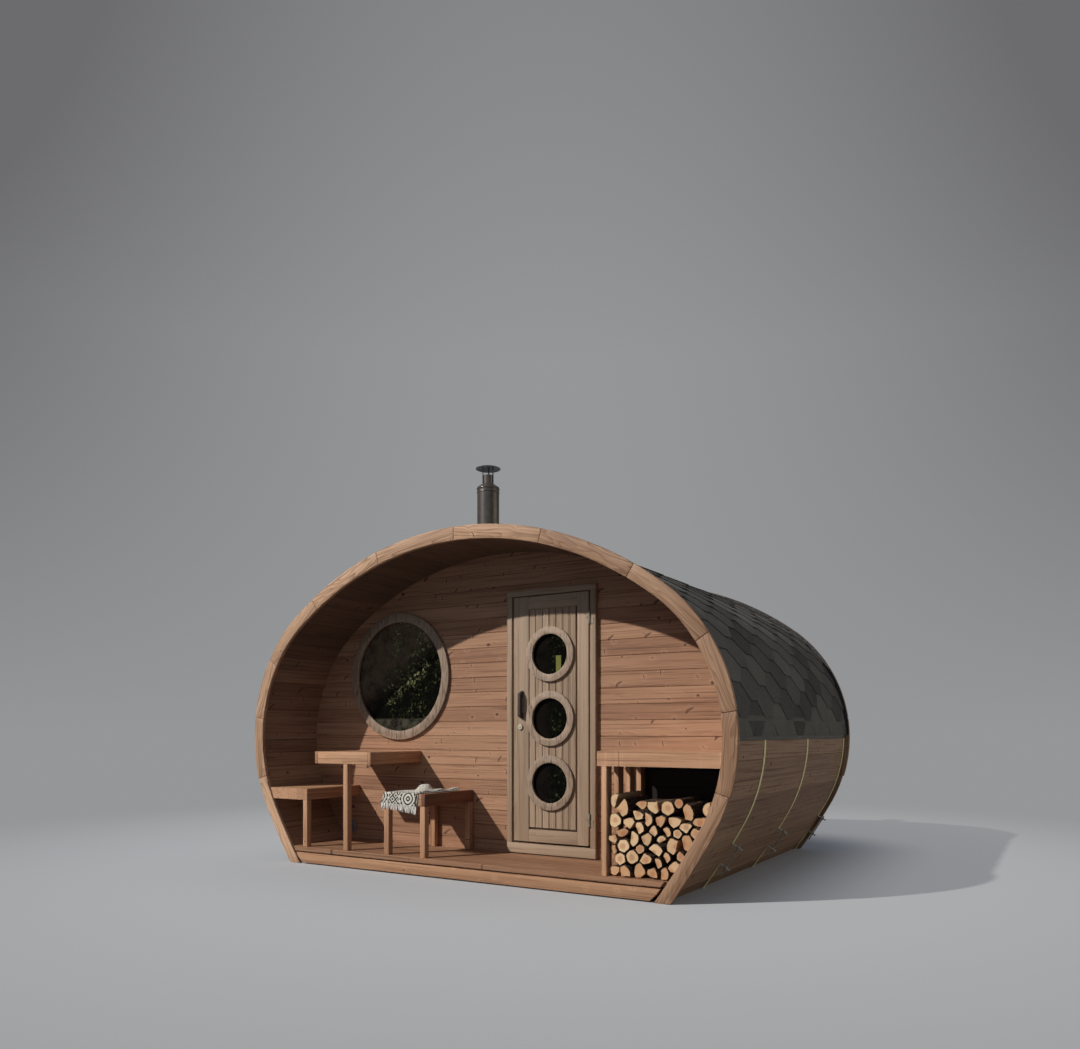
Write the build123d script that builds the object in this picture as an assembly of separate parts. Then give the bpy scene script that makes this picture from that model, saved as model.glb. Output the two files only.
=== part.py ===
"""Outdoor sauna: an oval barrel of horizontal staves on a flat base, with an open porch in front.

Millimetres, +Z up. The origin is on the ground under the middle of the building, the porch
faces -Y and +X is to the right of someone who looks at the door.
"""
import math
import os
import random

from build123d import *

# ---- Outline of the barrel, seen from the front ----
width = 4000            # over the rims, at the widest height
height = 2405           # ground to the top of the rims
widest_height = 965     # height at which the barrel is widest
side_radius = 1157      # arc round the side
base_tuck = 400         # rims come in by this much at the ground
base_radius = 4500      # nearly straight arc from the side to the ground

# ---- Barrel, along its length ----
length = 2840           # front rim face to rear rim face
rim_thickness = 30
rim_width = 95          # radial
rim_proud = 35          # rim edge beyond the staves
rim_joint = 1.5         # saw joint between two rim segments
rim_joint_angles = (0, 16, 32, 58, 82, 106.5)   # from the crown, at right angles to the outline
rim_foot_step = 8       # the lowest segment is narrower by this much, on its outer edge
stave_thickness = 45
porch_depth = 585       # front rim face to the front wall
rear_setback = 80       # rear rim face to the rear wall
wall_thickness = 45
fit_gap = 1             # between pieces cut to the barrel and the barrel

# ---- Roofing, which lies on the steel bands ----
roofing_thickness = 8
roofing_edge_angle = 89  # where the roofing ends on the side
ridge_gap = 1
edge_strip_drop = 26
edge_strip_thickness = 3

# ---- Floor ----
beam_height = 93
beam_depth = 45
beam_end_gap = 20
deck_thickness = 35
middle_beams = 2

# ---- Door frame ----
frame_left = 68
frame_width = 733
frame_top = 2030
frame_member = 42
sill_height = 79
sill_gap = 8            # proud part of the sill above the deck
frame_proud = 35
stop_width = 12
stop_gap = 5

# ---- Door ----
door_thickness = 42
door_recess = 2
hinge_side_gap = 5
latch_side_gap = 7
door_gap = 6
latch_stile = 138
hinge_stile = 98
top_rail = 97
bottom_rail = 98
panel_thickness = 24
panel_recess = 6
panel_boards = 7
panel_groove = 4
portholes = 3
porthole_lowest = 647
porthole_pitch = 457
porthole_radius = 143
porthole_ring_width = 52
porthole_ring_thickness = 14
porthole_rebate = 6
door_glass_thickness = 8
handle_height = 205
handle_bottom = 1102
handle_width = 24
handle_thickness = 22
handle_standoff = 24
handle_from_edge = 83
lock_radius = 21
lock_thickness = 8
lock_height = 1045
lock_from_edge = 69
hinge_heights = (400, 1800)
hinge_length = 90
hinge_plate = 30
hinge_plate_thickness = 2.5
hinge_knuckle_radius = 6
hinge_pin_radius = 3
hinge_pin_length = 72
hinge_bore_length = 81
hinge_pin_clearance = 0.06
hinge_knuckle_gap = 0.6

# ---- Round window ----
pane_sides = 48          # of each glass plate and of the hole behind its ring
window_angle = 31.6      # where its ring comes nearest to the staves, from the crown
window_staves_gap = 95   # between the ring and the staves
window_glass_radius = 432
window_ring_width = 70
window_ring_thickness = 24
window_rebate = 15
window_glass_thickness = 20

# ---- Vent in the front wall ----
vent_from_side = 500    # from the barrel's widest point on the left
vent_height = 233
vent_radius = 51
vent_thickness = 10

# ---- Furniture of the porch ----
leg_size = 45
furniture_front = 15    # from the front rim face
table_left = -1335
table_width = 568
table_bottom = 770
table_thickness = 90
table_leg_from_left = 294
bench_bottom = 487
bench_thickness = 86
bench_left_right_end = -1420
bench_right_left_end = -637
bench_right_width = 378
bench_wall_gap = 5

# ---- Wood store ----
counter_length = 904    # from its left edge to the barrel's widest point
counter_bottom = 800
counter_thickness = 92
counter_front = 20
batten_setback = 32     # from the counter's left edge
batten_width = 34
batten_depth = 73
battens = 4
log_count = 44
log_radius_min = 30
log_radius_max = 48
log_spread = 1.12       # size of a round log beyond the circle it is stacked by
log_kinds = {           # sweep of its section, sides of that, its shift and its growth
    "whole": (360, 11, 0, 1),
    "half": (180, 7, 0.42, 1.3),
    "quarter": (96, 5, 0.6, 1.75),
}
log_reach = 2.5         # logs within this many of their radii are trimmed to each other
log_length = 330
log_setback = 5         # behind the front rim
log_stagger = 24        # most that one log's end stands behind another's
log_gap = 1.2
log_step = 2            # between the places tried across the stack
log_seed = 11

# ---- Towel over the right bench ----
towel_thickness = 14
towel_right_gap = 22    # seat left bare at its right end
towel_rear_gap = 90
towel_front_drop = 112
towel_side_drop = 95
towel_side_length = 330

# ---- Steel bands ----
band_width = 28
band_thickness = 2
band_rear_setback = 80               # rear rim face to the middle of the rear band
band_middle_shift = 70               # of the middle band, towards the front
band_ear_angles = (121, 123)         # where the band's two ends bend outwards, round the outline
band_ear_length = 70
band_ear_thickness = 5.5
band_rod_radius = 5
band_rod_sides = 8
band_rod_standoff = 45               # from the staves to the rod's middle
band_rod_head = 22                   # rod above the upper ear
band_rod_tail = 60                   # rod below the lower ear

# ---- Chimney ----
chimney_from_side = 1045  # from the barrel's widest point on the left
chimney_y = 330
chimney_radius = 100
chimney_bore = 65
chimney_shoulder = 3237
chimney_cone_top = 3273
chimney_neck_radius = 50
chimney_neck_bore = 45
chimney_neck_top = 3346
chimney_stub = 120
cowl_radius = 113
cowl_bottom = 3408
cowl_top = 3437
cowl_edge = 2
cowl_thickness = 6
cowl_struts = 3
cowl_strut_thickness = 6
flashing_half_width = 210
flashing_plate = 2
flashing_cone_radius = 150
flashing_height = 130
flashing_gap = 0.5

# ---- Values that follow ----
front = -length / 2
rear = length / 2
rise = height - widest_height
side_x = width / 2 - side_radius
top_radius = (side_x**2 + rise**2 - side_radius**2) / (2 * (rise - side_radius))
top_centre = Vector(0, height - top_radius)
side_centre = Vector(side_x, widest_height)
top_end = math.degrees(math.atan2(side_x, widest_height - top_centre.Y))
foot = Vector(width / 2 - base_tuck, 0) - side_centre
radius_step = side_radius - base_radius
foot_cosine = (foot.length**2 + radius_step**2 - base_radius**2) / (2 * radius_step * foot.length)
side_end = math.degrees(math.atan2(foot.X, foot.Y) - math.acos(foot_cosine))


def outward(angle):
    """Unit vector square to the outline, at an angle from the crown."""
    return Vector(math.sin(math.radians(angle)), math.cos(math.radians(angle)))


base_centre = side_centre + outward(side_end) * radius_step
arcs = (
    (top_centre, top_radius, -90, top_end),
    (side_centre, side_radius, top_end, side_end),
    (base_centre, base_radius, side_end, 180),
)
shell_inset = rim_proud + stave_thickness
deck_top = beam_height + deck_thickness
wall_face = front + porch_depth
wall_back = wall_face + wall_thickness
rear_wall_face = rear - rear_setback
rear_wall_back = rear_wall_face - wall_thickness
frame_right = frame_left + frame_width
frame_face = wall_face - frame_proud
door_left = frame_left + frame_member + latch_side_gap
door_right = frame_right - frame_member - hinge_side_gap
door_bottom = deck_top + sill_height + door_gap
door_top = frame_top - frame_member - door_gap
door_face = frame_face + door_recess
door_back = door_face + door_thickness
panel_left = door_left + latch_stile
panel_right = door_right - hinge_stile
panel_bottom = door_bottom + bottom_rail
panel_top = door_top - top_rail
panel_face = door_face + panel_recess
hinge_x = door_right + hinge_side_gap / 2
hinge_y = frame_face - hinge_knuckle_radius
porthole_x = (door_left + door_right) / 2
window_ring_radius = window_glass_radius + window_ring_width
furniture_y = front + furniture_front
vent_x = vent_from_side - width / 2
counter_left = width / 2 - counter_length
batten_left = counter_left + batten_setback
batten_right = batten_left + batten_width
band_face = rim_proud - band_thickness
roofing_inset = band_face - roofing_thickness
chimney_x = chimney_from_side - width / 2
front_band = wall_face + wall_thickness / 2
rear_band = rear - band_rear_setback
band_middles = (front_band, (front_band + rear_band) / 2 - band_middle_shift, rear_band)


# ---- Outline helpers ----
def arc_at(angle):
    """Centre and radius of the outline's arc at an angle."""
    for centre, radius, low, high in arcs:
        if low <= angle <= high:
            return centre, radius


def outline_point(angle, inset):
    """Point of the outline, set in by a distance."""
    centre, radius = arc_at(angle)
    return centre + outward(angle) * (radius - inset)


def ground_angle(inset):
    """Angle at which the outline, set in by a distance, meets the ground."""
    return math.degrees(math.acos(-base_centre.Y / (base_radius - inset)))


def depth_inside(x, z):
    """Distance of a point on the right from the outline."""
    spot = Vector(x, z)
    from_side = spot - side_centre
    if math.degrees(math.atan2(from_side.X, from_side.Y)) < side_end:
        return side_radius - from_side.length
    return base_radius - (spot - base_centre).length


def shell_direction(spot):
    """Unit vector from a point on the right to the nearest stave."""
    from_side = spot - side_centre
    if math.degrees(math.atan2(from_side.X, from_side.Y)) < side_end:
        return from_side.normalized()
    return (spot - base_centre).normalized()


def arc_run(start, end, inset):
    """Edges of the right half's outline from one angle to another."""
    edges = []
    for centre, radius, low, high in arcs:
        first = max(start, low)
        last = min(end, high)
        if last - first > 1e-6:
            edges.append(CenterArc(centre, radius - inset, 90 - first, first - last))
    return edges


def strip(start, end, outer, inner):
    """Face between two insets; an end of None is cut level with the ground."""
    outer_end = ground_angle(outer) if end is None else end
    inner_end = ground_angle(inner) if end is None else end
    outside = arc_run(start, outer_end, outer)
    inside = arc_run(start, inner_end, inner)
    near = Line(outside[0] @ 0, inside[0] @ 0)
    far = Line(outside[-1] @ 1, inside[-1] @ 1)
    return make_face(outside + [far] + inside + [near])


def outline_face(inset):
    """Whole cross-section within the outline, set in by a distance."""
    side = arc_run(0, ground_angle(inset), inset)
    level = Line(side[-1] @ 1, (0, 0))
    axis = Line((0, 0), side[0] @ 0)
    half = make_face(side + [level, axis])
    return half + mirror(half, about=Plane.YZ)


def along(face, start, end):
    """Extrude a front-view face from one Y to another."""
    return extrude(Plane.XZ.offset(-start) * face, amount=end - start, dir=(0, 1, 0))


def block(x_low, x_high, y_low, y_high, z_low, z_high):
    """Box between two corners."""
    size = Box(x_high - x_low, y_high - y_low, z_high - z_low)
    return Pos((x_low + x_high) / 2, (y_low + y_high) / 2, (z_low + z_high) / 2) * size


def disc(x, z, radius, y_low, y_high):
    """Round plate that faces the porch."""
    return along(Pos(x, z) * Circle(radius), y_low, y_high)


def ring(x, z, outer, inner, y_low, y_high):
    """Flat ring that faces the porch."""
    return along(Pos(x, z) * (Circle(outer) - Circle(inner)), y_low, y_high)


def pane(x, z, radius, y_low, y_high):
    """Glass plate whose edge is hidden in a rebate, so that it has few sides."""
    return along(Pos(x, z) * RegularPolygon(radius, pane_sides), y_low, y_high)


def both_sides(shape):
    """A shape on the right and its mirror image on the left."""
    return [shape, mirror(shape, about=Plane.YZ)]


# ---- Spaces that pieces are cut to ----
def porch_space(rim_gap):
    """Inside of the porch: the staves' inner face, and the rim's edge in front."""
    behind = along(outline_face(shell_inset + fit_gap), front + rim_thickness + fit_gap, wall_face)
    mouth = along(outline_face(rim_width + rim_gap), front, wall_face)
    return behind + mouth


def room_space():
    """Inside of the room, between the two walls."""
    return along(outline_face(shell_inset + fit_gap), wall_back, rear_wall_back)


def flue(radius):
    """Vertical cylinder on the chimney's axis."""
    return Pos(chimney_x, chimney_y, 0) * Cylinder(radius, 2 * cowl_top)


# ---- Barrel ----
def shell():
    """Staves, in a segment for each arc: crown, sides and base."""
    first = front + rim_thickness
    last = rear - rim_thickness
    half = along(strip(0, top_end, rim_proud, shell_inset), first, last)
    crown = half + mirror(half, about=Plane.YZ)
    side = along(strip(top_end, side_end, rim_proud, shell_inset), first, last)
    base = along(strip(side_end, None, rim_proud, shell_inset), first, last)
    right_side, left_side = both_sides(side)
    right_base, left_base = both_sides(base)
    return {
        "shell_crown": crown - flue(chimney_radius + fit_gap),
        "shell_side_right": right_side,
        "shell_side_left": left_side,
        "shell_base_right": right_base,
        "shell_base_left": left_base,
    }


def rim(y_low):
    """Six curved trim segments for each side, with saw joints between them."""
    segments = []
    ends = list(rim_joint_angles[1:]) + [None]
    for start, end in zip(rim_joint_angles, ends):
        start_gap = math.degrees(rim_joint / 2 / arc_at(start)[1])
        if end is None:
            face = strip(start + start_gap, None, rim_foot_step, rim_width)
        else:
            end_gap = math.degrees(rim_joint / 2 / arc_at(end)[1])
            face = strip(start + start_gap, end - end_gap, 0, rim_width)
        segments += both_sides(along(face, y_low, y_low + rim_thickness))
    return segments


def bands():
    """Steel hoops round the staves, each parted between its two ears and open at the ground."""
    upper, lower = band_ear_angles
    hoops = []
    for middle in band_middles:
        low = middle - band_width / 2
        high = middle + band_width / 2
        over = along(strip(0, upper, band_face, rim_proud), low, high)
        hoops.append(over + mirror(over, about=Plane.YZ))
        hoops += both_sides(along(strip(lower, None, band_face, rim_proud), low, high))
    return hoops


def tensioners():
    """Two ears on each end of each band, and the threaded rod that draws them together."""
    depth = band_rod_standoff - rim_proud
    ears = []
    spots = []
    for angle in band_ear_angles:
        root = outline_point(angle, band_face)
        middle = root + outward(angle) * (band_ear_length / 2)
        plate = Pos(middle.X, middle.Y) * Rot(0, 0, -angle) * Rectangle(band_ear_thickness, band_ear_length)
        ears.append(plate)
        spots.append(outline_point(angle, -depth))
    run = (spots[1] - spots[0]).normalized()
    start = spots[0] - run * band_rod_head
    end = spots[1] + run * band_rod_tail
    groups = []
    for middle in band_middles:
        solid = along(ears[0] + ears[1], middle - band_width / 2, middle + band_width / 2)
        axis = Plane(origin=(start.X, middle, start.Y), z_dir=(run.X, 0, run.Y))
        rod = extrude(axis * RegularPolygon(band_rod_radius, band_rod_sides), amount=(end - start).length)
        groups += both_sides(solid + rod)
    return groups


def roofing():
    """Shingle covering of each slope."""
    start = math.degrees(ridge_gap / 2 / top_radius)
    slope = along(strip(start, roofing_edge_angle, roofing_inset, band_face),
                  front + rim_thickness, rear - rim_thickness)
    right, left = both_sides(slope)
    return {"roofing_right": right, "roofing_left": left - flue(chimney_radius + fit_gap)}


def roof_edges():
    """Thin metal strip below the roofing on each side."""
    drop = math.degrees(edge_strip_drop / side_radius)
    outer = band_face - edge_strip_thickness
    face = strip(roofing_edge_angle, roofing_edge_angle + drop, outer, band_face)
    return both_sides(along(face, front + rim_thickness, rear - rim_thickness))


# ---- Floor ----
def beams():
    """Cross beams that the building rests on: front, rear and in between."""
    low = along(Pos(0, beam_height / 2) * Rectangle(2 * width, beam_height), front, rear)
    front_face = outline_face(rim_width + beam_end_gap)
    inner_face = outline_face(shell_inset + fit_gap)
    solids = [
        along(front_face, front, front + beam_depth) & low,
        along(front_face, rear - beam_depth, rear) & low,
        along(inner_face, wall_face, wall_face + beam_depth) & low,
        along(inner_face, rear_wall_face - beam_depth, rear_wall_face) & low,
    ]
    pitch = (rear_wall_face - wall_face) / (middle_beams + 1)
    for number in range(1, middle_beams + 1):
        middle = wall_face + number * pitch
        solids.append(along(inner_face, middle - beam_depth / 2, middle + beam_depth / 2) & low)
    return solids


def floors():
    """Porch deck and room floor."""
    level = block(-width, width, front, rear, beam_height, deck_top)
    return {
        "porch_deck": porch_space(beam_end_gap) & level,
        "room_floor": room_space() & level,
    }


# ---- Walls ----
def wall(y_low, y_high):
    """Whole cross wall above the beams."""
    above = block(-width, width, front, rear, beam_height, height)
    return along(outline_face(shell_inset + fit_gap), y_low, y_high) & above


def window_centre():
    """Middle of the round window, seen from the front."""
    spot = outline_point(window_angle, shell_inset + window_staves_gap + window_ring_radius)
    return -spot.X, spot.Y


def front_walls():
    """Front wall beside and over the door frame, with the round window cut through."""
    whole = wall(wall_face, wall_back)
    x, z = window_centre()
    window = pane(x, z, window_glass_radius + window_rebate, wall_face, wall_back)
    return {
        "front_wall_left": whole & block(-width, frame_left, front, rear, 0, height) - window,
        "front_wall_right": whole & block(frame_right, width, front, rear, 0, height),
        "front_wall_over_door": whole & block(frame_left, frame_right, front, rear, frame_top, height),
    }


def round_window():
    """Trim ring on the wall, and the pane behind it."""
    x, z = window_centre()
    trim = ring(x, z, window_ring_radius, window_glass_radius,
                wall_face - window_ring_thickness, wall_face)
    pane_y = wall_face + (wall_thickness - window_glass_thickness) / 2
    glass = pane(x, z, window_glass_radius + window_rebate - fit_gap,
                 pane_y, pane_y + window_glass_thickness)
    return {"window_ring": trim, "window_glass": glass}


# ---- Door frame ----
def door_frame():
    """Jambs and head with a stop behind the door, and the sill."""
    stop_y = door_back + stop_gap
    inner_left = frame_left + frame_member
    inner_right = frame_right - frame_member
    sill_top = deck_top + sill_height
    head_bottom = frame_top - frame_member
    left = block(frame_left, inner_left, frame_face, wall_back, sill_top, head_bottom)
    left += block(inner_left, inner_left + stop_width, stop_y, wall_back, sill_top, head_bottom)
    right = block(inner_right, frame_right, frame_face, wall_back, sill_top, head_bottom)
    right += block(inner_right - stop_width, inner_right, stop_y, wall_back, sill_top, head_bottom)
    head = block(frame_left, frame_right, frame_face, wall_back, head_bottom, frame_top)
    head += block(inner_left + stop_width, inner_right - stop_width, stop_y, wall_back,
                  head_bottom - stop_width, head_bottom)
    sill = block(frame_left, frame_right, frame_face, wall_back, deck_top + sill_gap, sill_top)
    sill += block(frame_left, frame_right, wall_face, wall_back, beam_height, deck_top + sill_gap)
    return {
        "door_jamb_left": left,
        "door_jamb_right": right,
        "door_head": head,
        "door_sill": sill,
    }


# ---- Door ----
def door():
    """Stiles and rails round a boarded panel with three round windows."""
    leaf = block(door_left, door_right, door_face, door_back, door_bottom, door_top)
    leaf -= block(panel_left, panel_right, door_face, door_back, panel_bottom, panel_top)
    panel = block(panel_left, panel_right, panel_face, panel_face + panel_thickness,
                  panel_bottom, panel_top)
    board = (panel_right - panel_left) / panel_boards
    for number in range(1, panel_boards):
        x = panel_left + number * board
        groove = Pos(x, panel_face, (panel_bottom + panel_top) / 2) * Rot(0, 0, 45)
        panel -= groove * Box(panel_groove, panel_groove, panel_top - panel_bottom)
    rings = []
    panes = []
    outer = porthole_radius + porthole_ring_width
    hole = porthole_radius + porthole_rebate
    ring_face = door_face - porthole_ring_thickness
    pane_y = panel_face + (panel_thickness - door_glass_thickness) / 2
    for number in range(portholes):
        z = porthole_lowest + number * porthole_pitch
        leaf -= disc(porthole_x, z, outer, ring_face, panel_face)
        panel -= pane(porthole_x, z, hole, panel_face, panel_face + panel_thickness)
        rings.append(ring(porthole_x, z, outer, porthole_radius, ring_face, panel_face))
        panes.append(pane(porthole_x, z, hole - fit_gap, pane_y, pane_y + door_glass_thickness))
    return {"door_leaf": leaf, "door_panel": panel, "door_rings": rings, "door_glass": panes}


def door_handle():
    """Wooden grip with sloped ends on two feet, on each face of the door."""
    x = door_left + handle_from_edge
    grip_face = door_face - handle_standoff - handle_thickness
    side = Polyline(
        (door_face, handle_bottom),
        (door_face, handle_bottom + handle_thickness * 2),
        (door_face - handle_standoff, handle_bottom + handle_thickness * 2),
        (door_face - handle_standoff, handle_bottom + handle_height - handle_thickness * 2),
        (door_face, handle_bottom + handle_height - handle_thickness * 2),
        (door_face, handle_bottom + handle_height),
        (grip_face, handle_bottom + handle_height - handle_thickness),
        (grip_face, handle_bottom + handle_thickness),
        close=True,
    )
    profile = Plane.YZ.offset(x - handle_width / 2) * make_face(side)
    grip = extrude(profile, amount=handle_width)
    middle = (door_face + door_back) / 2
    inner = mirror(grip, about=Plane.XZ.offset(-middle))
    return {"door_handles": [grip, inner]}


def door_metal():
    """Lift-off hinges, a flag with a pin on the jamb and one on the door above it, and the lock."""
    fixed = []
    moving = [disc(door_left + lock_from_edge, lock_height, lock_radius,
                   door_face - lock_thickness, door_face)]
    half = hinge_length / 2
    for z in hinge_heights:
        low = Pos(hinge_x, hinge_y, z - half / 2) * Cylinder(hinge_knuckle_radius, half)
        low += block(hinge_x, hinge_x + hinge_plate, frame_face - hinge_plate_thickness, frame_face,
                     z - half, z)
        pin = Pos(hinge_x, hinge_y, z) * Cylinder(hinge_pin_radius, hinge_pin_length)
        fixed.append(low + pin)
        top = half - hinge_knuckle_gap
        high = Pos(hinge_x, hinge_y, z + half - top / 2) * Cylinder(hinge_knuckle_radius, top)
        high += block(hinge_x - hinge_plate, hinge_x, frame_face - hinge_plate_thickness, frame_face,
                      z + hinge_knuckle_gap, z + half)
        high += block(hinge_x - hinge_plate, door_right, frame_face - hinge_plate_thickness, door_face,
                      z + hinge_knuckle_gap, z + half)
        bore = Cylinder(hinge_pin_radius + hinge_pin_clearance, hinge_bore_length)
        moving.append(high - Pos(hinge_x, hinge_y, z) * bore)
    return {"hinges_on_frame": fixed, "hinges_and_lock_on_door": moving}


# ---- Furniture of the porch ----
def furniture():
    """Table and two benches between the front of the porch and the wall."""
    inside = porch_space(fit_gap)
    table_top = block(table_left, table_left + table_width, furniture_y, wall_face,
                      table_bottom, table_bottom + table_thickness)
    bench_top = bench_bottom + bench_thickness
    bench_right_end = bench_right_left_end + bench_right_width
    bench_back = wall_face - bench_wall_gap
    bench_left = inside & block(-width, bench_left_right_end, furniture_y, wall_face,
                                bench_bottom, bench_top)
    bench_right = block(bench_right_left_end, bench_right_end, furniture_y, bench_back,
                        bench_bottom, bench_top)
    table_leg = table_left + table_leg_from_left
    legs = [
        leg(table_leg, furniture_y, table_bottom),
        leg(bench_left_right_end - leg_size, furniture_y, bench_bottom),
    ]
    for x in (bench_right_left_end, bench_right_end - leg_size):
        for y in (furniture_y, bench_back - leg_size):
            legs.append(leg(x, y, bench_bottom))
    return {
        "table_top": table_top,
        "bench_left_seat": bench_left,
        "bench_right_seat": bench_right,
        "furniture_legs": legs,
    }


def leg(x, y, top):
    """Square leg that stands on the deck."""
    return block(x, x + leg_size, y, y + leg_size, deck_top, top)


def towel():
    """Towel spread on the right bench, hanging over its front and its left end."""
    seat_top = bench_bottom + bench_thickness
    towel_top = seat_top + towel_thickness
    left = bench_right_left_end - towel_thickness
    right = bench_right_left_end + bench_right_width - towel_right_gap
    near = furniture_y - towel_thickness
    lying = block(left, right, near, wall_face - towel_rear_gap, seat_top, towel_top)
    in_front = block(left, right, near, furniture_y, seat_top - towel_front_drop, towel_top)
    beside = block(left, bench_right_left_end, near, near + towel_side_length,
                   seat_top - towel_side_drop, towel_top)
    return lying + in_front + beside


# ---- Wood store ----
def wood_store():
    """Counter with a row of battens under its left edge, and the logs behind them."""
    inside = porch_space(fit_gap)
    counter_y = front + counter_front
    counter = inside & block(counter_left, width, counter_y, wall_face,
                             counter_bottom, counter_bottom + counter_thickness)
    upright = []
    pitch = (wall_face - counter_y - batten_depth) / (battens - 1)
    for number in range(battens):
        y = counter_y + number * pitch
        upright.append(block(batten_left, batten_right, y, y + batten_depth,
                             deck_top, counter_bottom))
    return {"wood_store_counter": counter, "wood_store_battens": upright}


def stack():
    """Centre and radius of each log: each drops where it comes to rest lowest."""
    sizes = random.Random(log_seed)
    placed = []
    for number in range(log_count):
        radius = sizes.uniform(log_radius_min, log_radius_max)
        lowest = None
        x = batten_right + log_gap + radius
        while x < width / 2:
            z = deck_top + radius
            for centre, other in placed:
                reach = radius + other
                if abs(x - centre.X) < reach:
                    z = max(z, centre.Y + math.sqrt(reach**2 - (x - centre.X)**2))
            inside = depth_inside(x, z) > shell_inset + fit_gap + log_gap + radius
            if inside and (lowest is None or z < lowest.Y):
                lowest = Vector(x, z)
            x += log_step
        placed.append((lowest, radius))
    return placed


def clip(corners, spot, normal):
    """Part of a convex polygon behind the line through a spot, square to a normal."""
    kept = []
    for start, end in zip(corners, corners[1:] + corners[:1]):
        start_side = (start - spot).dot(normal)
        end_side = (end - spot).dot(normal)
        if start_side <= 0:
            kept.append(start)
        if start_side * end_side < 0:
            kept.append(start + (end - start) * (start_side / (start_side - end_side)))
    return kept


def log_outline(kind, radius, turn):
    """Section of a whole, halved or quartered log about its own middle."""
    sweep, sides, shift, growth = log_kinds[kind]
    reach = growth * radius
    corners = []
    for number in range(sides if kind == "whole" else sides + 1):
        angle = math.radians(turn - sweep / 2 + sweep * number / sides)
        corners.append(Vector(math.cos(angle), math.sin(angle)) * reach)
    if kind == "quarter":
        corners.append(Vector(0, 0))
    middle = Vector(math.cos(math.radians(turn)), math.sin(math.radians(turn))) * shift * reach
    return [corner - middle for corner in corners]


def firewood():
    """Stack of split and round logs between the battens and the staves."""
    chance = random.Random(log_seed + 1)
    placed = stack()
    logs = []
    for centre, radius in placed:
        kind = chance.choice(("whole", "half", "quarter", "quarter", "half"))
        turn = chance.uniform(0, 360)
        corners = [centre + corner for corner in log_outline(kind, radius * log_spread, turn)]
        for other, other_radius in placed:
            apart = other - centre
            if 0 < apart.length < log_reach * (radius + other_radius):
                share = (apart.length**2 + radius**2 - other_radius**2) / (2 * apart.length)
                normal = apart.normalized()
                corners = clip(corners, centre + normal * (share - log_gap / 2), normal)
        corners = clip(corners, Vector(0, deck_top), Vector(0, -1))
        corners = clip(corners, Vector(batten_right + log_gap, 0), Vector(-1, 0))
        outwards = shell_direction(centre)
        limit = depth_inside(centre.X, centre.Y) - shell_inset - fit_gap - log_gap
        corners = clip(corners, centre + outwards * limit, outwards)
        near = front + rim_thickness + log_setback + chance.uniform(0, log_stagger)
        face = make_face(Polyline(*[(p.X, p.Y) for p in corners], close=True))
        logs.append(along(face, near, near + log_length))
    return logs


# ---- Chimney ----
def chimney():
    """Insulated flue through the roof, its cone and neck, and a cowl on struts."""
    roof_z = math.sqrt((top_radius - roofing_inset)**2 - chimney_x**2) + top_centre.Y
    bottom = roof_z - shell_inset - chimney_stub
    place = Pos(chimney_x, chimney_y, 0)
    pipe_half = Polyline(
        (chimney_bore, bottom),
        (chimney_radius, bottom),
        (chimney_radius, chimney_shoulder),
        (chimney_neck_radius, chimney_cone_top),
        (chimney_neck_radius, chimney_neck_top),
        (chimney_neck_bore, chimney_neck_top),
        (chimney_neck_bore, chimney_shoulder),
        (chimney_bore, chimney_shoulder),
        close=True,
    )
    pipe = revolve(Plane.XZ * make_face(pipe_half), Axis.Z)
    cap_half = Polyline(
        (0, cowl_top),
        (cowl_radius, cowl_bottom + cowl_edge),
        (cowl_radius, cowl_bottom),
        (0, cowl_top - cowl_thickness),
        close=True,
    )
    cap = revolve(Plane.XZ * make_face(cap_half), Axis.Z)
    strut_reach = chimney_neck_radius + cowl_strut_thickness
    cap_rise = cowl_top - cowl_thickness - cowl_bottom
    strut_top = cowl_bottom + cap_rise * (1 - chimney_neck_radius / cowl_radius) + cowl_edge / 2
    strut = block(chimney_neck_radius, strut_reach, -cowl_strut_thickness, cowl_strut_thickness,
                  chimney_cone_top + cowl_thickness, strut_top)
    for number in range(cowl_struts):
        cap += Rot(0, 0, 360 / cowl_struts * number) * strut
    collar_half = Polyline(
        (chimney_radius + flashing_gap, roof_z - flashing_cone_radius),
        (flashing_cone_radius, roof_z - flashing_cone_radius),
        (flashing_cone_radius, roof_z),
        (chimney_radius + flashing_gap + flashing_plate, roof_z + flashing_height),
        (chimney_radius + flashing_gap, roof_z + flashing_height),
        close=True,
    )
    roof = along(outline_face(roofing_inset - flashing_gap), front, rear)
    collar = place * revolve(Plane.XZ * make_face(collar_half), Axis.Z) - roof
    around = block(chimney_x - flashing_half_width, chimney_x + flashing_half_width,
                   chimney_y - flashing_half_width, chimney_y + flashing_half_width,
                   widest_height, cowl_top)
    over = along(outline_face(roofing_inset - flashing_gap - flashing_plate), front, rear)
    plate = (over & around) - roof - flue(chimney_radius + flashing_gap)
    return {
        "chimney_pipe": place * pipe,
        "chimney_cowl": place * cap,
        "chimney_flashing": plate + collar,
    }


def wall_vent():
    """Round wooden vent cover on the front wall."""
    return disc(vent_x, vent_height, vent_radius, wall_face - vent_thickness, wall_face)


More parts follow.
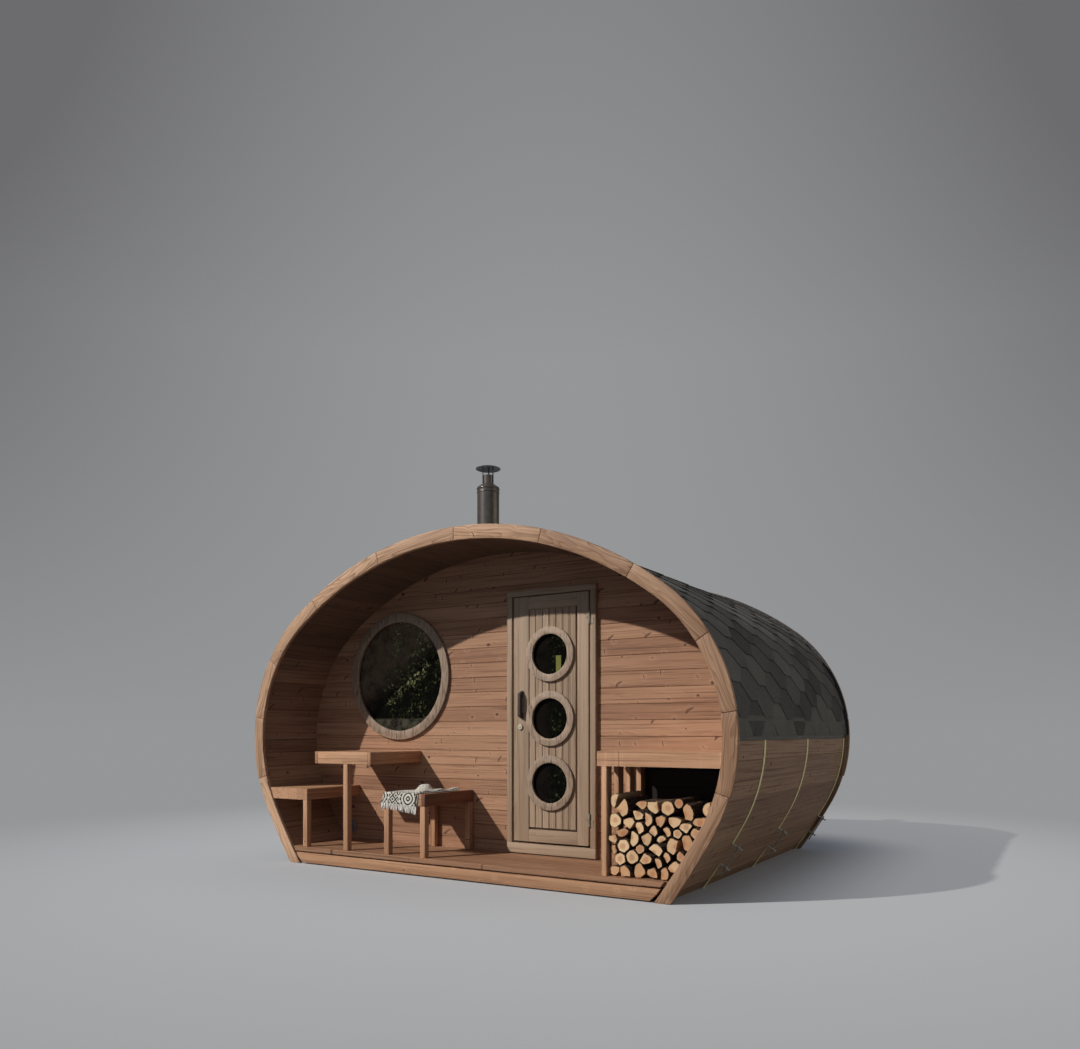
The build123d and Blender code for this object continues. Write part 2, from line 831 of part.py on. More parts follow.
def build():
    """Every node of the building, by name."""
    nodes = {}
    nodes.update(shell())
    nodes["front_rim"] = rim(front)
    nodes["rear_rim"] = rim(rear - rim_thickness)
    nodes["bands"] = bands()
    nodes["band_tensioners"] = tensioners()
    nodes.update(roofing())
    nodes["roof_edge_strips"] = roof_edges()
    nodes["base_beams"] = beams()
    nodes.update(floors())
    nodes.update(front_walls())
    nodes["rear_wall"] = wall(rear_wall_back, rear_wall_face)
    nodes.update(round_window())
    nodes["wall_vent"] = wall_vent()
    nodes.update(door_frame())
    nodes.update(door())
    nodes.update(door_handle())
    nodes.update(door_metal())
    nodes.update(furniture())
    nodes["towel"] = towel()
    nodes.update(wood_store())
    nodes["firewood"] = firewood()
    nodes.update(chimney())
    return nodes


os.makedirs("parts", exist_ok=True)
for name, shape in build().items():
    if isinstance(shape, list):
        solids = [solid for piece in shape for solid in piece.solids()]
        shape = Compound(children=solids)
    export_step(shape, f"parts/{name}.step")
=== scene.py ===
"""Looks of the outdoor sauna: boards, staves, shingles, logs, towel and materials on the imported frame.

Metres, +Z up, the porch faces -Y. Sizes come from the frame's boxes and the values named below.
"""
import math
import random
from functools import partialmethod

import bmesh
import bpy
import numpy as np
from mathutils import Matrix, Vector


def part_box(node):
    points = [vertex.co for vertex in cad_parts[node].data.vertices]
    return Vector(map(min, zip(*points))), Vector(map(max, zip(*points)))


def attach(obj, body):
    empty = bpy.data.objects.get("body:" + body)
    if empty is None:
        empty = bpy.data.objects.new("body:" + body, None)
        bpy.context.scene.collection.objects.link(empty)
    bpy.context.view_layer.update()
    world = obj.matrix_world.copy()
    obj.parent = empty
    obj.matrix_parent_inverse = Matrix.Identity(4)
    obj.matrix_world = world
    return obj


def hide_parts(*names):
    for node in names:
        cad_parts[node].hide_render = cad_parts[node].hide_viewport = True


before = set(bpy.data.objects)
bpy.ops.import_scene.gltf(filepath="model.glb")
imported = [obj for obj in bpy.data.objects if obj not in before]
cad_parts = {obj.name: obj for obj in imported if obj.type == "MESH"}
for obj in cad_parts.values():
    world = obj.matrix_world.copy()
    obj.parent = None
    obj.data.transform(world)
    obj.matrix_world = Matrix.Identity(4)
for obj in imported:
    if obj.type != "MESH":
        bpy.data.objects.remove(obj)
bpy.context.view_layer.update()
chance = random.Random(5)

# ---- Outline of the barrel, as in the frame ----
rim_low, rim_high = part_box("front_rim")
half_width = rim_high.x
height = rim_high.z
front = rim_low.y
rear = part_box("rear_rim")[1].y
rim_thickness = rim_high.y - rim_low.y
widest_height = 0.965
side_radius = 1.157
base_tuck = 0.4
base_radius = 4.5
stave_inset = 0.035
stave_thickness = 0.045
stave_pitch = 0.123
roof_edge = 89           # degrees from the crown

side_x = half_width - side_radius
rise = height - widest_height
top_radius = (side_x**2 + rise**2 - side_radius**2) / (2 * (rise - side_radius))
top_centre = Vector((0, height - top_radius))
side_centre = Vector((side_x, widest_height))
top_end = math.degrees(math.atan2(side_x, widest_height - top_centre.y))
foot = Vector((half_width - base_tuck, 0)) - side_centre
radius_step = side_radius - base_radius
foot_cosine = (foot.length**2 + radius_step**2 - base_radius**2) / (2 * radius_step * foot.length)
side_end = math.degrees(math.atan2(foot.x, foot.y) - math.acos(foot_cosine))


def outward(angle):
    """Unit vector square to the outline, at an angle from the crown."""
    return Vector((math.sin(math.radians(angle)), math.cos(math.radians(angle))))


base_centre = side_centre + outward(side_end) * radius_step
ground_end = math.degrees(math.acos(-base_centre.y / base_radius))
arcs = (
    (top_centre, top_radius, 0, top_end),
    (side_centre, side_radius, top_end, side_end),
    (base_centre, base_radius, side_end, ground_end + 5),
)


def outline_point(angle, inset):
    """Point of the right half's outline, set in by a distance."""
    for centre, radius, low, high in arcs:
        if angle <= high:
            return centre + outward(angle) * (radius - inset)


def outline_angle(run):
    """Angle reached from the crown after a run along the outline."""
    for centre, radius, low, high in arcs:
        length = math.radians(high - low) * radius
        if run <= length:
            return low + math.degrees(run / radius)
        run -= length
    return high


def outline_run(angle):
    """Run along the outline from the crown to an angle."""
    return sum(math.radians(max(0, min(angle, high) - low)) * radius for centre, radius, low, high in arcs)


# ---- Meshes ----
def net(rows, columns, closed_rows=False, closed_columns=True):
    """Four-sided faces between rows of points, which may close on themselves."""
    faces = []
    for row in range(rows if closed_rows else rows - 1):
        here, beyond = row * columns, (row + 1) % rows * columns
        for column in range(columns if closed_columns else columns - 1):
            after = (column + 1) % columns
            faces.append([here + column, here + after, beyond + after, beyond + column])
    return faces


def circle(radius, steps):
    """Points round a circle."""
    turns = [math.tau * step / steps for step in range(steps)]
    return [(radius * math.cos(turn), radius * math.sin(turn)) for turn in turns]


def on_axis(axis, along, across):
    """Point at a place along an axis, with its other two coordinates in their order."""
    point = list(across)
    point.insert("XYZ".index(axis), along)
    return point


class Shape:
    """A mesh in the making, of one or more separate closed solids."""

    def __init__(self):
        self.points = []
        self.faces = []

    def add(self, points, faces):
        first = len(self.points)
        self.points += [tuple(point) for point in points]
        self.faces += [[first + corner for corner in face] for face in faces]

    def prism(self, outline, low, high, axis="Y"):
        """Solid with a flat outline, from one place on an axis to another."""
        count = len(outline)
        points = [on_axis(axis, at, spot) for at in (low, high) for spot in outline]
        self.add(points, net(2, count) + [list(range(count))[::-1], list(range(count, 2 * count))])

    def box(self, low, high):
        """Box between two corners."""
        outline = [(low[0], low[2]), (high[0], low[2]), (high[0], high[2]), (low[0], high[2])]
        self.prism(outline, low[1], high[1])

    def lathe(self, profile, centre, axis, steps=72, closed=True):
        """Ring or disc: a profile of (radius, place along the axis) turned round it."""
        points = [Vector(on_axis(axis, along, (radius * x, radius * y))) + centre
                  for x, y in circle(1, steps) for radius, along in profile]
        self.add(points, net(steps, len(profile), True, closed))

    def tube(self, path, radii, steps=6):
        """Closed tube along a path, with a radius at each point of it."""
        points = []
        last = len(path) - 1
        side = (path[1] - path[0]).orthogonal()
        for number, spot in enumerate(path):
            ahead = (path[min(number + 1, last)] - path[max(number - 1, 0)]).normalized()
            side = (side - ahead * side.dot(ahead)).normalized()
            points += [spot + side * x + ahead.cross(side) * y for x, y in circle(radii[number], steps)]
        ends = [list(range(steps))[::-1], list(range(last * steps, len(points)))]
        self.add(points, net(len(path), steps) + ends)

    def mesh(self, name):
        mesh = bpy.data.meshes.new(name)
        mesh.from_pydata(self.points, [], self.faces)
        return mesh


def placed(name, data):
    """New object of a mesh, lamp or camera in the scene."""
    item = bpy.data.objects.new(name, data)
    bpy.context.scene.collection.objects.link(item)
    return item


def written(work, mesh):
    """Mesh that takes up what was worked out."""
    work.to_mesh(mesh)
    work.free()
    return mesh


def cad_mesh(node):
    """Copy of a CAD node's mesh with its corners joined and its flat faces whole."""
    work = bmesh.new()
    work.from_mesh(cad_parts[node].data)
    bmesh.ops.remove_doubles(work, verts=work.verts, dist=1e-5)
    bmesh.ops.dissolve_limit(work, angle_limit=math.radians(0.6), verts=work.verts, edges=work.edges)
    return written(work, bpy.data.meshes.new(node))


def joined(meshes, name):
    """One mesh of several."""
    work = bmesh.new()
    for mesh in meshes:
        work.from_mesh(mesh)
    return written(work, bpy.data.meshes.new(name))


def ease(mesh, width=0, segments=2, smooth=24):
    """Round a mesh's sharp edges and set which edges shade as sharp."""
    work = bmesh.new()
    work.from_mesh(mesh)
    bmesh.ops.recalc_face_normals(work, faces=work.faces)
    if width:
        least = math.radians(35)
        edges = [edge for edge in work.edges if edge.is_manifold and edge.calc_face_angle() > least]
        bmesh.ops.bevel(work, geom=edges, offset=width, segments=segments, profile=0.5,
                        affect="EDGES", clamp_overlap=True)
    for face in work.faces:
        face.smooth = True
    for edge in work.edges:
        edge.smooth = edge.is_manifold and edge.calc_face_angle() < math.radians(smooth)
    return written(work, mesh)


def cut(mesh, cutter, operation):
    """Result of a boolean between two meshes."""
    subject, tool = placed("subject", mesh), placed("tool", cutter)
    modifier = subject.modifiers.new("cut", "BOOLEAN")
    modifier.object = tool
    modifier.operation = operation
    modifier.solver = "EXACT"
    bpy.context.view_layer.update()
    evaluated = subject.evaluated_get(bpy.context.evaluated_depsgraph_get())
    result = bpy.data.meshes.new_from_object(evaluated)
    for item in (subject, tool):
        bpy.data.objects.remove(item)
    return result


def corners_of(mesh):
    """Array of a mesh's vertices."""
    points = np.empty(len(mesh.vertices) * 3)
    mesh.vertices.foreach_get("co", points)
    return points.reshape(-1, 3)


def parts_of(mesh):
    """Number of the loose part that each vertex belongs to."""
    ends = np.empty(len(mesh.edges) * 2, int)
    mesh.edges.foreach_get("vertices", ends)
    ends = ends.reshape(-1, 2)
    label = np.arange(len(mesh.vertices))
    while True:
        low = np.minimum(label[ends[:, 0]], label[ends[:, 1]])
        after = label.copy()
        np.minimum.at(after, ends[:, 0], low)
        np.minimum.at(after, ends[:, 1], low)
        after = after[after]
        if (after == label).all():
            return label
        label = after


def plank_axes(points, slanted):
    """Directions along, across and through a plank."""
    if slanted:
        return np.linalg.eigh(np.cov((points - points.mean(0)).T))[1][:, ::-1].T
    return np.eye(3)[np.argsort(-np.ptp(points, axis=0), kind="stable")]


def set_attribute(mesh, name, values):
    """Store a number or a vector for each vertex."""
    kind, field = ("FLOAT_VECTOR", "vector") if values.ndim == 2 else ("FLOAT", "value")
    attribute = mesh.attributes.new(name, kind, "POINT")
    attribute.data.foreach_set(field, values.astype(np.float32).ravel())


def set_grain(mesh, labels=None, axes=None, slanted=False):
    """Give each plank its own place in the wood, along, across and through, and its own tone."""
    points = corners_of(mesh)
    if labels is None:
        labels = parts_of(mesh)
    grain = np.zeros_like(points)
    tone = np.zeros(len(points))
    for label in np.unique(labels):
        own = labels == label
        directions = plank_axes(points[own], slanted) if axes is None else np.array(axes, float)
        shift = (chance.uniform(0, 40), chance.uniform(-0.04, 0.04), chance.uniform(0.03, 0.11))
        middle = (points[own].min(0) + points[own].max(0)) / 2
        grain[own] = (points[own] - middle) @ directions.T + shift
        tone[own] = chance.random()
    set_attribute(mesh, "grain", grain)
    set_attribute(mesh, "tone", tone)


def piece(mesh, name, material, body="building", replaces=()):
    """Object of a finished mesh that rides on a body."""
    mesh.materials.clear()
    for item in material if isinstance(material, list) else [material]:
        mesh.materials.append(item)
    item = placed(name, mesh)
    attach(item, body)
    if replaces:
        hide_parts(*replaces)
    return item


# ---- Node trees ----
class Value:
    """A node's output, with which sums are written as usual."""

    def __init__(self, nodes, socket):
        self.nodes = nodes
        self.socket = socket

    def apply(self, operation, *others):
        return self.nodes.add("Math", (self, *others), operation=operation)[0]

    __add__ = partialmethod(apply, "ADD")
    __sub__ = partialmethod(apply, "SUBTRACT")
    __mul__ = partialmethod(apply, "MULTIPLY")
    __truediv__ = partialmethod(apply, "DIVIDE")
    __mod__ = partialmethod(apply, "MODULO")
    __pow__ = partialmethod(apply, "POWER")
    __abs__ = partialmethod(apply, "ABSOLUTE")

    def vector(self, operation, *others):
        output = "Value" if operation in ("LENGTH", "DOT_PRODUCT") else 0
        return self.nodes.add("VectorMath", (self, *others), operation=operation)[output]

    def scaled(self, factor):
        return self.nodes.add("VectorMath", {0: self, "Scale": factor}, operation="SCALE")[0]

    def split(self):
        parts = self.nodes.add("SeparateXYZ", (self,))
        return parts[0], parts[1], parts[2]

    def noise(self, scale, detail=3.0, roughness=0.55):
        """Noise with one scale, or with its own along each axis."""
        place = self
        if isinstance(scale, tuple):
            place, scale = self.vector("MULTIPLY", scale), 1.0
        inputs = {"Vector": place, "Scale": scale, "Detail": detail, "Roughness": roughness}
        return self.nodes.add("TexNoise", inputs)["Fac"]

    def between(self, low, high, to_low=0.0, to_high=1.0):
        """Smooth step from to_low to to_high as the value goes from low to high."""
        return self.nodes.add("MapRange", (self, low, high, to_low, to_high), clamp=True,
                              interpolation_type="SMOOTHSTEP")[0]

    def under(self, *layers):
        """This colour below others, each a colour and its share."""
        result = self
        for color, share in layers:
            result = self.nodes.mix(share, result, color)
        return result


class Node:
    """A node whose outputs are values."""

    def __init__(self, nodes, node):
        self.nodes = nodes
        self.node = node

    def __getitem__(self, output):
        return Value(self.nodes, self.node.outputs[output])


class Nodes:
    """Node tree of a material or a world."""

    def __init__(self, name, kind="materials"):
        self.owner = getattr(bpy.data, kind).new(name)
        self.owner.use_nodes = True
        self.tree = self.owner.node_tree
        self.shader = self.tree.nodes.get("Principled BSDF")

    def put(self, socket, value):
        value = getattr(value, "socket", value)
        if isinstance(value, bpy.types.NodeSocket):
            self.tree.links.new(value, socket)
        else:
            socket.default_value = value

    def add(self, kind, inputs=(), **settings):
        """New node, with inputs by name or number or in their order."""
        node = self.tree.nodes.new("ShaderNode" + kind)
        for key, value in settings.items():
            setattr(node, key, value)
        for key, value in inputs.items() if isinstance(inputs, dict) else enumerate(inputs):
            self.put(node.inputs[key], value)
        return Node(self, node)

    def spot(self):
        return self.add("TexCoord")["Object"]

    def grain(self):
        """Place in the plank's own wood, and the plank's tone."""
        return (self.add("Attribute", attribute_name="grain")["Vector"],
                self.add("Attribute", attribute_name="tone")["Fac"])

    def join(self, *parts):
        return self.add("CombineXYZ", parts)[0]

    def length(self, *parts):
        return self.join(*parts).vector("LENGTH")

    def voronoi(self, vector, scale, **settings):
        return self.add("TexVoronoi", {"Vector": vector, "Scale": scale}, **settings)

    def mix(self, factor, first, second):
        return self.add("Mix", {0: factor, 6: first, 7: second}, data_type="RGBA")[2]

    def seen(self):
        """1 for what the camera, a mirror or a pane sees, 0 for what only lights."""
        path = self.add("LightPath")
        direct = path["Is Camera Ray"].apply("MAXIMUM", path["Is Glossy Ray"])
        return direct.apply("MAXIMUM", path["Is Transmission Ray"])

    def bump(self, height, distance, strength):
        node = self.add("Bump", {"Height": height, "Distance": distance, "Strength": strength})
        self.put(self.shader.inputs["Normal"], node[0])

    def finish(self, color, roughness, **values):
        self.put(self.shader.inputs["Base Color"], color)
        self.put(self.shader.inputs["Roughness"], roughness)
        for key, value in values.items():
            self.shader.inputs[key.replace("_", " ")].default_value = value
        return self.owner


def rgb(red, green, blue):
    """Linear colour of three sRGB numbers from 0 to 255."""
    parts = [part / 255 for part in (red, green, blue)]
    return (*[part / 12.92 if part <= 0.04045 else ((part + 0.055) / 1.055) ** 2.4 for part in parts], 1)


def dimmed(color, factor):
    """A colour times a number."""
    return (*[factor * part for part in color[:3]], 1)


# ---- Materials ----
def painted_store_shade(n):
    """Painted shade on the walls behind the firewood, over the sunlit streaks there too: its colour and how
    much of it there is.
    """
    x, y, z = n.spot().split()
    behind = x.between(1.05, 1.09) * z.between(0.80, 0.77) * y.between(-0.850, -0.845, 0.0, 0.985)
    return rgb(22, 13, 8), behind * y.apply("LESS_THAN", 0.0)


def painted_ceiling_shade(n):
    """Painted shade on the staves' inner faces overhead, greyer and deeper upwards: its colour and how much
    of it there is.
    """
    x, _, z = n.spot().split()
    turned_x, _, turned_z = n.add("NewGeometry")["Normal"].split()
    outward = turned_z * (z - 1.2) + turned_x * x
    return rgb(52, 43, 43), outward.apply("LESS_THAN", 0.0) * z.between(1.1, 1.8, 0.0, 0.6)


def wood(name, warm, pale, late, knots=0.6, ring=0.0052, contrast=0.35, streaks=0.35, cracks=0.5,
         spread=0.14, stretch=1.0, figure=0.05, knot_size=1.0, halo=0.5, darker=None):
    """Softwood: growth rings about the pith, fibres, round and slanting knots, and drying cracks."""
    n = Nodes(name)
    grain, tone = n.grain()
    cell_size = (0.20, 0.105, 1)
    cell = grain.vector("MULTIPLY", (1, 1, 0)).vector("DIVIDE", cell_size)
    cells = n.voronoi(cell, 1.0, voronoi_dimensions="2D")
    x, y, _ = cell.vector("SUBTRACT", cells["Position"]).vector("MULTIPLY", cell_size).split()
    pick, lean, kind = cells["Color"].split()
    # Some knots are cut lengthwise: short strokes that slant across the board.
    spike = kind.apply("GREATER_THAN", 0.32)
    bent = y * 11.0 + (lean - 0.5) * 2.4
    cosine, sine = bent.apply("COSINE"), bent.apply("SINE")
    spike_reach = n.length(x * cosine - y * sine, (x * sine + y * cosine) / 4.2)
    round_reach = n.length(x / 1.35, y)
    reach = spike * (spike_reach - round_reach) + round_reach + (grain.noise(160.0, 2.0) * 0.0024 - 0.0012)
    size = (lean**2 * (0.0065 * knot_size) + 0.0032 * knot_size) * (spike * -0.26 + 0.80)
    ratio = reach / size
    present = pick.apply("LESS_THAN", knots)
    knot = present * ratio.between(1.25, 0.7)
    edge = present * ratio.between(0.5, 0.95) * ratio.between(1.4, 1.0)
    near = present * n.length(x, y).between(0.042, 0.012)
    # The fibres run round a knot, so its neighbourhood is pinched towards its middle and paler.
    _, across, through = grain.split()
    across = grain.noise((1.1, 5, 5), 2.0) * figure + (across - y * near * 0.75)
    through = grain.noise((1.36, 6.8, 6.8), 2.0) * figure + through
    rough_ring = grain.noise((6, 130, 130))
    year = ((rough_ring * 0.0022 + n.length(across, through)) / ring).apply("FRACT")
    strength = grain.noise((0.9, 16, 16), 2.0).between(0.3, 0.7, 0.35, 1.0)
    latewood = year**2.2 * year.between(1.0, 0.93) * strength
    fibre = grain.noise((9, 420, 420), 3.0, 0.6)
    streak = grain.noise((1.3 * stretch, 60, 60), 4.0, 0.62)
    line = grain.noise((0.9 * stretch, 125, 125), 2.0).between(0.58, 0.67)
    swirl = (rough_ring * 1.2 + round_reach / 0.010).apply("FRACT") ** 2 * near
    swirl = swirl * round_reach.between(0.005, 0.012)
    crack = grain.noise((1.7, 75, 20), 2.0, 0.5).between(0.745, 0.775) * cracks
    color = n.mix(grain.noise((1.6, 9, 9)) * 0.9 + (tone * 0.5 - 0.2), warm, pale).under(
        (dimmed(pale, 1.3), near * halo),
        (late, latewood * contrast),
        (late, streak.between(0.48, 0.70) * streaks),
        (dimmed(late, 0.6), line * streaks),
        (late, swirl * 0.6),
    )
    color = color.scaled((fibre * 0.20 + (streak * -0.2 + 1.0)) * (tone * spread + (1 - spread / 2))).under(
        (n.mix(spike, rgb(72, 42, 29), rgb(104, 64, 45)), knot * 0.85),
        (rgb(36, 21, 15), edge * 0.5),
        (rgb(40, 26, 20), crack),
    )
    # Painted shade, where a material is given one, darkens its colour here.
    if darker:
        color = color.under(darker(n))
    n.bump(latewood * 0.35 + fibre * 0.45 - crack * 1.5 - edge * 0.5, 0.0009, 0.55)
    return n.finish(color, fibre * 0.2 + 0.52, Specular_IOR_Level=0.25)


def log_ends():
    """Freshly cut wood: rings about the log's own pith, a darker heart and fine radial cracks."""
    n = Nodes("split_log_wood")
    grain, tone = n.grain()
    _, across, through = grain.split()
    radius = n.length(across, through)
    year = ((grain.noise((3, 28, 28)) * 0.006 + radius) / 0.0034).apply("FRACT")
    latewood = year**2 * year.between(1.0, 0.9)
    ray = n.join(across.apply("ARCTAN2", through) * 3.0, tone * 30.0).noise(3.0, 2.0)
    crack = ray.between(0.66, 0.70) * radius.between(0.05, 0.004)
    fibre = grain.noise((14, 300, 300), 3.0, 0.6)
    cloud = grain.noise((6, 26, 26))
    heart = (cloud * 0.02 + radius).between(0.034, 0.022)
    color = n.mix(cloud * 0.7 + (tone - 0.35), rgb(196, 146, 102), rgb(228, 192, 146)).under(
        (rgb(174, 104, 70), heart * 0.5),
        (rgb(142, 88, 54), latewood * 0.38),
        (rgb(70, 42, 26), crack * 0.8),
    )
    n.bump(fibre * 0.6 - crack, 0.0012, 0.6)
    return n.finish(color.scaled(fibre * 0.3 + 0.84), fibre * 0.2 + 0.65, Specular_IOR_Level=0.25)


def bark():
    """Grey-brown bark in long plates with deep furrows, painted near black: partly the bark's own colour and
    partly painted shade in the furrows.
    """
    n = Nodes("bark")
    grain, tone = n.grain()
    plates = n.voronoi(grain.vector("MULTIPLY", (22, 85, 85)), 1.0, feature="DISTANCE_TO_EDGE")
    furrow = plates["Distance"].between(0.0, 0.22)
    fine = grain.noise((60, 160, 160), 4.0, 0.65)
    color = n.mix(fine * 0.8 + tone * 0.3, rgb(62, 44, 33), rgb(138, 112, 90))
    n.bump(fine * 0.4 + furrow, 0.003, 0.9)
    return n.finish(n.mix(furrow, rgb(30, 21, 16), color), fine * 0.2 + 0.72, Specular_IOR_Level=0.2)


def shingle():
    """Mineral-faced bitumen: fine granules over a dark ground, each tab with its own shade."""
    n = Nodes("bitumen_shingle")
    spot = n.spot()
    _, tone = n.grain()
    granule = n.voronoi(spot, 420.0)
    speck, _, _ = granule["Color"].split()
    grit = spot.noise(900.0, 2.0, 0.7)
    color = n.mix(spot.noise(5.5, 4.0, 0.6) * 0.6 + (tone - 0.3), rgb(54, 52, 49), rgb(106, 100, 91)).under(
        (rgb(150, 146, 138), speck.between(0.80, 0.95) * 0.5),
        (rgb(34, 33, 33), speck.between(0.22, 0.08) * 0.7),
    )
    n.bump(granule["Distance"] * 0.6 + grit, 0.0012, 0.7)
    return n.finish(color.scaled(grit * 0.4 + 0.8), grit * 0.12 + 0.82, Specular_IOR_Level=0.3)


def metal(name, color, dull, rough, metallic, scale=35.0):
    """Metal with a mottled surface, faint scratches and dull patches."""
    n = Nodes(name)
    spot = n.spot()
    mottle = spot.noise(scale, 4.0, 0.6)
    fine = spot.noise((9 * scale, 9 * scale, 54 * scale), 3.0, 0.65)
    tint = n.mix(mottle.between(0.38, 0.68), color, dull).scaled(fine * 0.3 + 0.85)
    n.bump(fine * 0.4 + mottle, 0.0006, 0.35)
    return n.finish(tint, mottle * 0.22 + (rough - 0.11), Metallic=metallic, Specular_IOR_Level=0.5)


def glass(name, node, reflected_veil, leaves_painted_for_shadow, leaves_painted_for_sun, window=False):
    """Dark pane with a painted reflection of a garden's leaves on its right. Its painted colours are
    brighter where the pane lies in the key light's shadow and darker where it lies in the sun, as painted
    light and shade.
    """
    n = Nodes(name)
    low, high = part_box(node)
    spot = n.spot()
    across, _, up = spot.vector("SUBTRACT", (low + high) / 2).scaled(2 / (high.x - low.x)).split()
    warp = n.add("TexNoise", {"Vector": spot, "Scale": 22.0, "Detail": 3.0})["Color"]
    leaves = n.voronoi(spot.vector("ADD", warp.scaled(0.05)), 48.0)
    _, shine, _ = leaves["Color"].split()
    clump = spot.noise(11.0, 4.0, 0.7)
    soft = spot.noise(5.0) * 0.4 - 0.2
    # On the window, lean runs across the edge of the key light's shadow, and the painted leaf and ground
    # tones change there from those for shadow to those for sun.
    lean = across * 0.55 - up * 0.85 if window else across
    leaf = leaves["Distance"].between(0.65, 0.25) * clump.between(0.40, 0.56)
    leaf = leaf * (soft * 1.6 + across).between(-0.50, -0.10)
    bright = shine**3 * spot.noise(7.0, 2.0).between(0.4, 0.62)
    tones = n.mix(lean.between(0.20, 0.34), n.mix(bright, *leaves_painted_for_shadow), n.mix(bright, *leaves_painted_for_sun))
    color = n.mix((lean + soft).between(-0.42, 0.26), reflected_veil, rgb(9, 9, 6)).under(
        (rgb(3, 3, 3), clump.between(0.4, 0.7, 0.0, 0.6)),
        (tones, leaf),
    )
    if window:
        # A painted reflection of bare ground along the bottom.
        reflected_soil = n.mix(clump.between(0.35, 0.65), rgb(30, 28, 22), rgb(74, 70, 57))
        color = color.under((reflected_soil, (clump * 0.06 + up).between(-0.70, -0.74)))
    else:
        # A painted reflection of a sunlit patch of the garden in the door's upper pane.
        patch = abs(across - 0.41).between(0.15, 0.13) * abs(up - 2.6).between(0.42, 0.40)
        color = color.under((rgb(116, 114, 60), patch))
    n.bump(spot.noise(1.5, 1.0), 0.0004, 0.15)
    return n.finish(color, clump * 0.03 + 0.03, Specular_IOR_Level=0.5, IOR=1.12)


def rubber():
    """Black seal with a fine dull skin."""
    n = Nodes("seal")
    fine = n.spot().noise(700.0)
    n.bump(fine, 0.0003, 0.4)
    return n.finish(n.mix(fine, rgb(16, 16, 17), rgb(36, 36, 37)), fine * 0.2 + 0.55)


# The wall boards carry painted shade behind the firewood.
walls_wood = wood("wall_wood", rgb(150, 106, 78), rgb(182, 139, 106), rgb(98, 61, 43),
                  knots=0.85, streaks=0.5, knot_size=1.5, halo=0.45, darker=painted_store_shade)
# The staves carry painted shade on their inner faces overhead.
stave_wood = wood("stave_wood", rgb(142, 108, 82), rgb(170, 136, 108), rgb(92, 64, 47),
                  knots=0.8, streaks=0.55, spread=0.26, knot_size=1.5, halo=0.3, darker=painted_ceiling_shade)
deck_wood = wood("deck_wood", rgb(140, 98, 71), rgb(170, 129, 97), rgb(92, 57, 40),
                 knots=0.6, streaks=0.55, knot_size=1.2, halo=0.4)
rim_wood = wood("rim_wood", rgb(143, 105, 76), rgb(213, 171, 134), rgb(100, 62, 42),
                knots=0.3, ring=0.012, contrast=0.8, streaks=0.5, cracks=0.4, spread=0.26, figure=0.16)
door_wood = wood("door_wood", rgb(154, 128, 103), rgb(174, 148, 122), rgb(112, 88, 68),
                 knots=0.03, ring=0.0045, contrast=0.45, streaks=0.45, cracks=0.0, spread=0.08)
ring_wood = wood("ring_wood", rgb(152, 128, 106), rgb(180, 155, 131), rgb(92, 72, 57),
                 knots=0.0, ring=0.012, contrast=0.5, streaks=0.7, cracks=0.0, spread=0.1, stretch=9.0)
plank_wood = wood("plank_wood", rgb(172, 124, 90), rgb(208, 161, 122), rgb(116, 72, 49),
                  knots=0.75, streaks=0.45, cracks=0.25, knot_size=0.9)
grip_wood = wood("handle_wood", rgb(58, 48, 44), rgb(78, 66, 60), rgb(40, 33, 30), knots=0.0, ring=0.003)
side_wood = wood("side_wood", rgb(112, 74, 54), rgb(140, 96, 72), rgb(80, 48, 35), knots=0.5, streaks=0.5)
log_wood = log_ends()
log_bark = bark()
roof_skin = shingle()
band_zinc = metal("band_zinc", rgb(250, 240, 172), rgb(230, 222, 154), 0.45, 0.3)
zinc = metal("zinc_steel", rgb(168, 168, 156), rgb(140, 140, 130), 0.62, 0.15)
dull_zinc = metal("dull_zinc", rgb(150, 132, 110), rgb(128, 112, 92), 0.5, 0.2, 60.0)
bright_zinc = metal("bright_zinc", rgb(198, 190, 160), rgb(174, 166, 138), 0.5, 0.12, 60.0)
dark_metal = metal("dark_metal", rgb(92, 84, 77), rgb(72, 67, 63), 0.36, 0.45, 9.0)
cowl_metal = metal("cowl_metal", rgb(112, 113, 112), rgb(92, 93, 92), 0.45, 0.4, 20.0)
edge_metal = metal("edge_metal", rgb(70, 68, 60), rgb(56, 55, 50), 0.5, 0.3, 20.0)
vent_grey = metal("vent_grey", rgb(116, 110, 101), rgb(96, 91, 83), 0.5, 0.1, 30.0)
# Panes with painted reflections; the window's colours are set separately for its shadowed and sunlit parts.
window_pane = glass("window_pane", "window_glass", rgb(104, 88, 70), (rgb(74, 76, 46), rgb(196, 192, 136)),
                    (rgb(22, 24, 14), rgb(98, 98, 60)), window=True)
door_pane = glass("door_pane", "door_glass", rgb(22, 18, 15), (rgb(16, 17, 10), rgb(66, 72, 44)),
                  (rgb(14, 16, 10), rgb(60, 66, 40)))
seal = rubber()


# ---- Boards of walls, floors and the door's panel ----
beyond = 0.05            # that boards reach past their solid, whose outline cuts them off


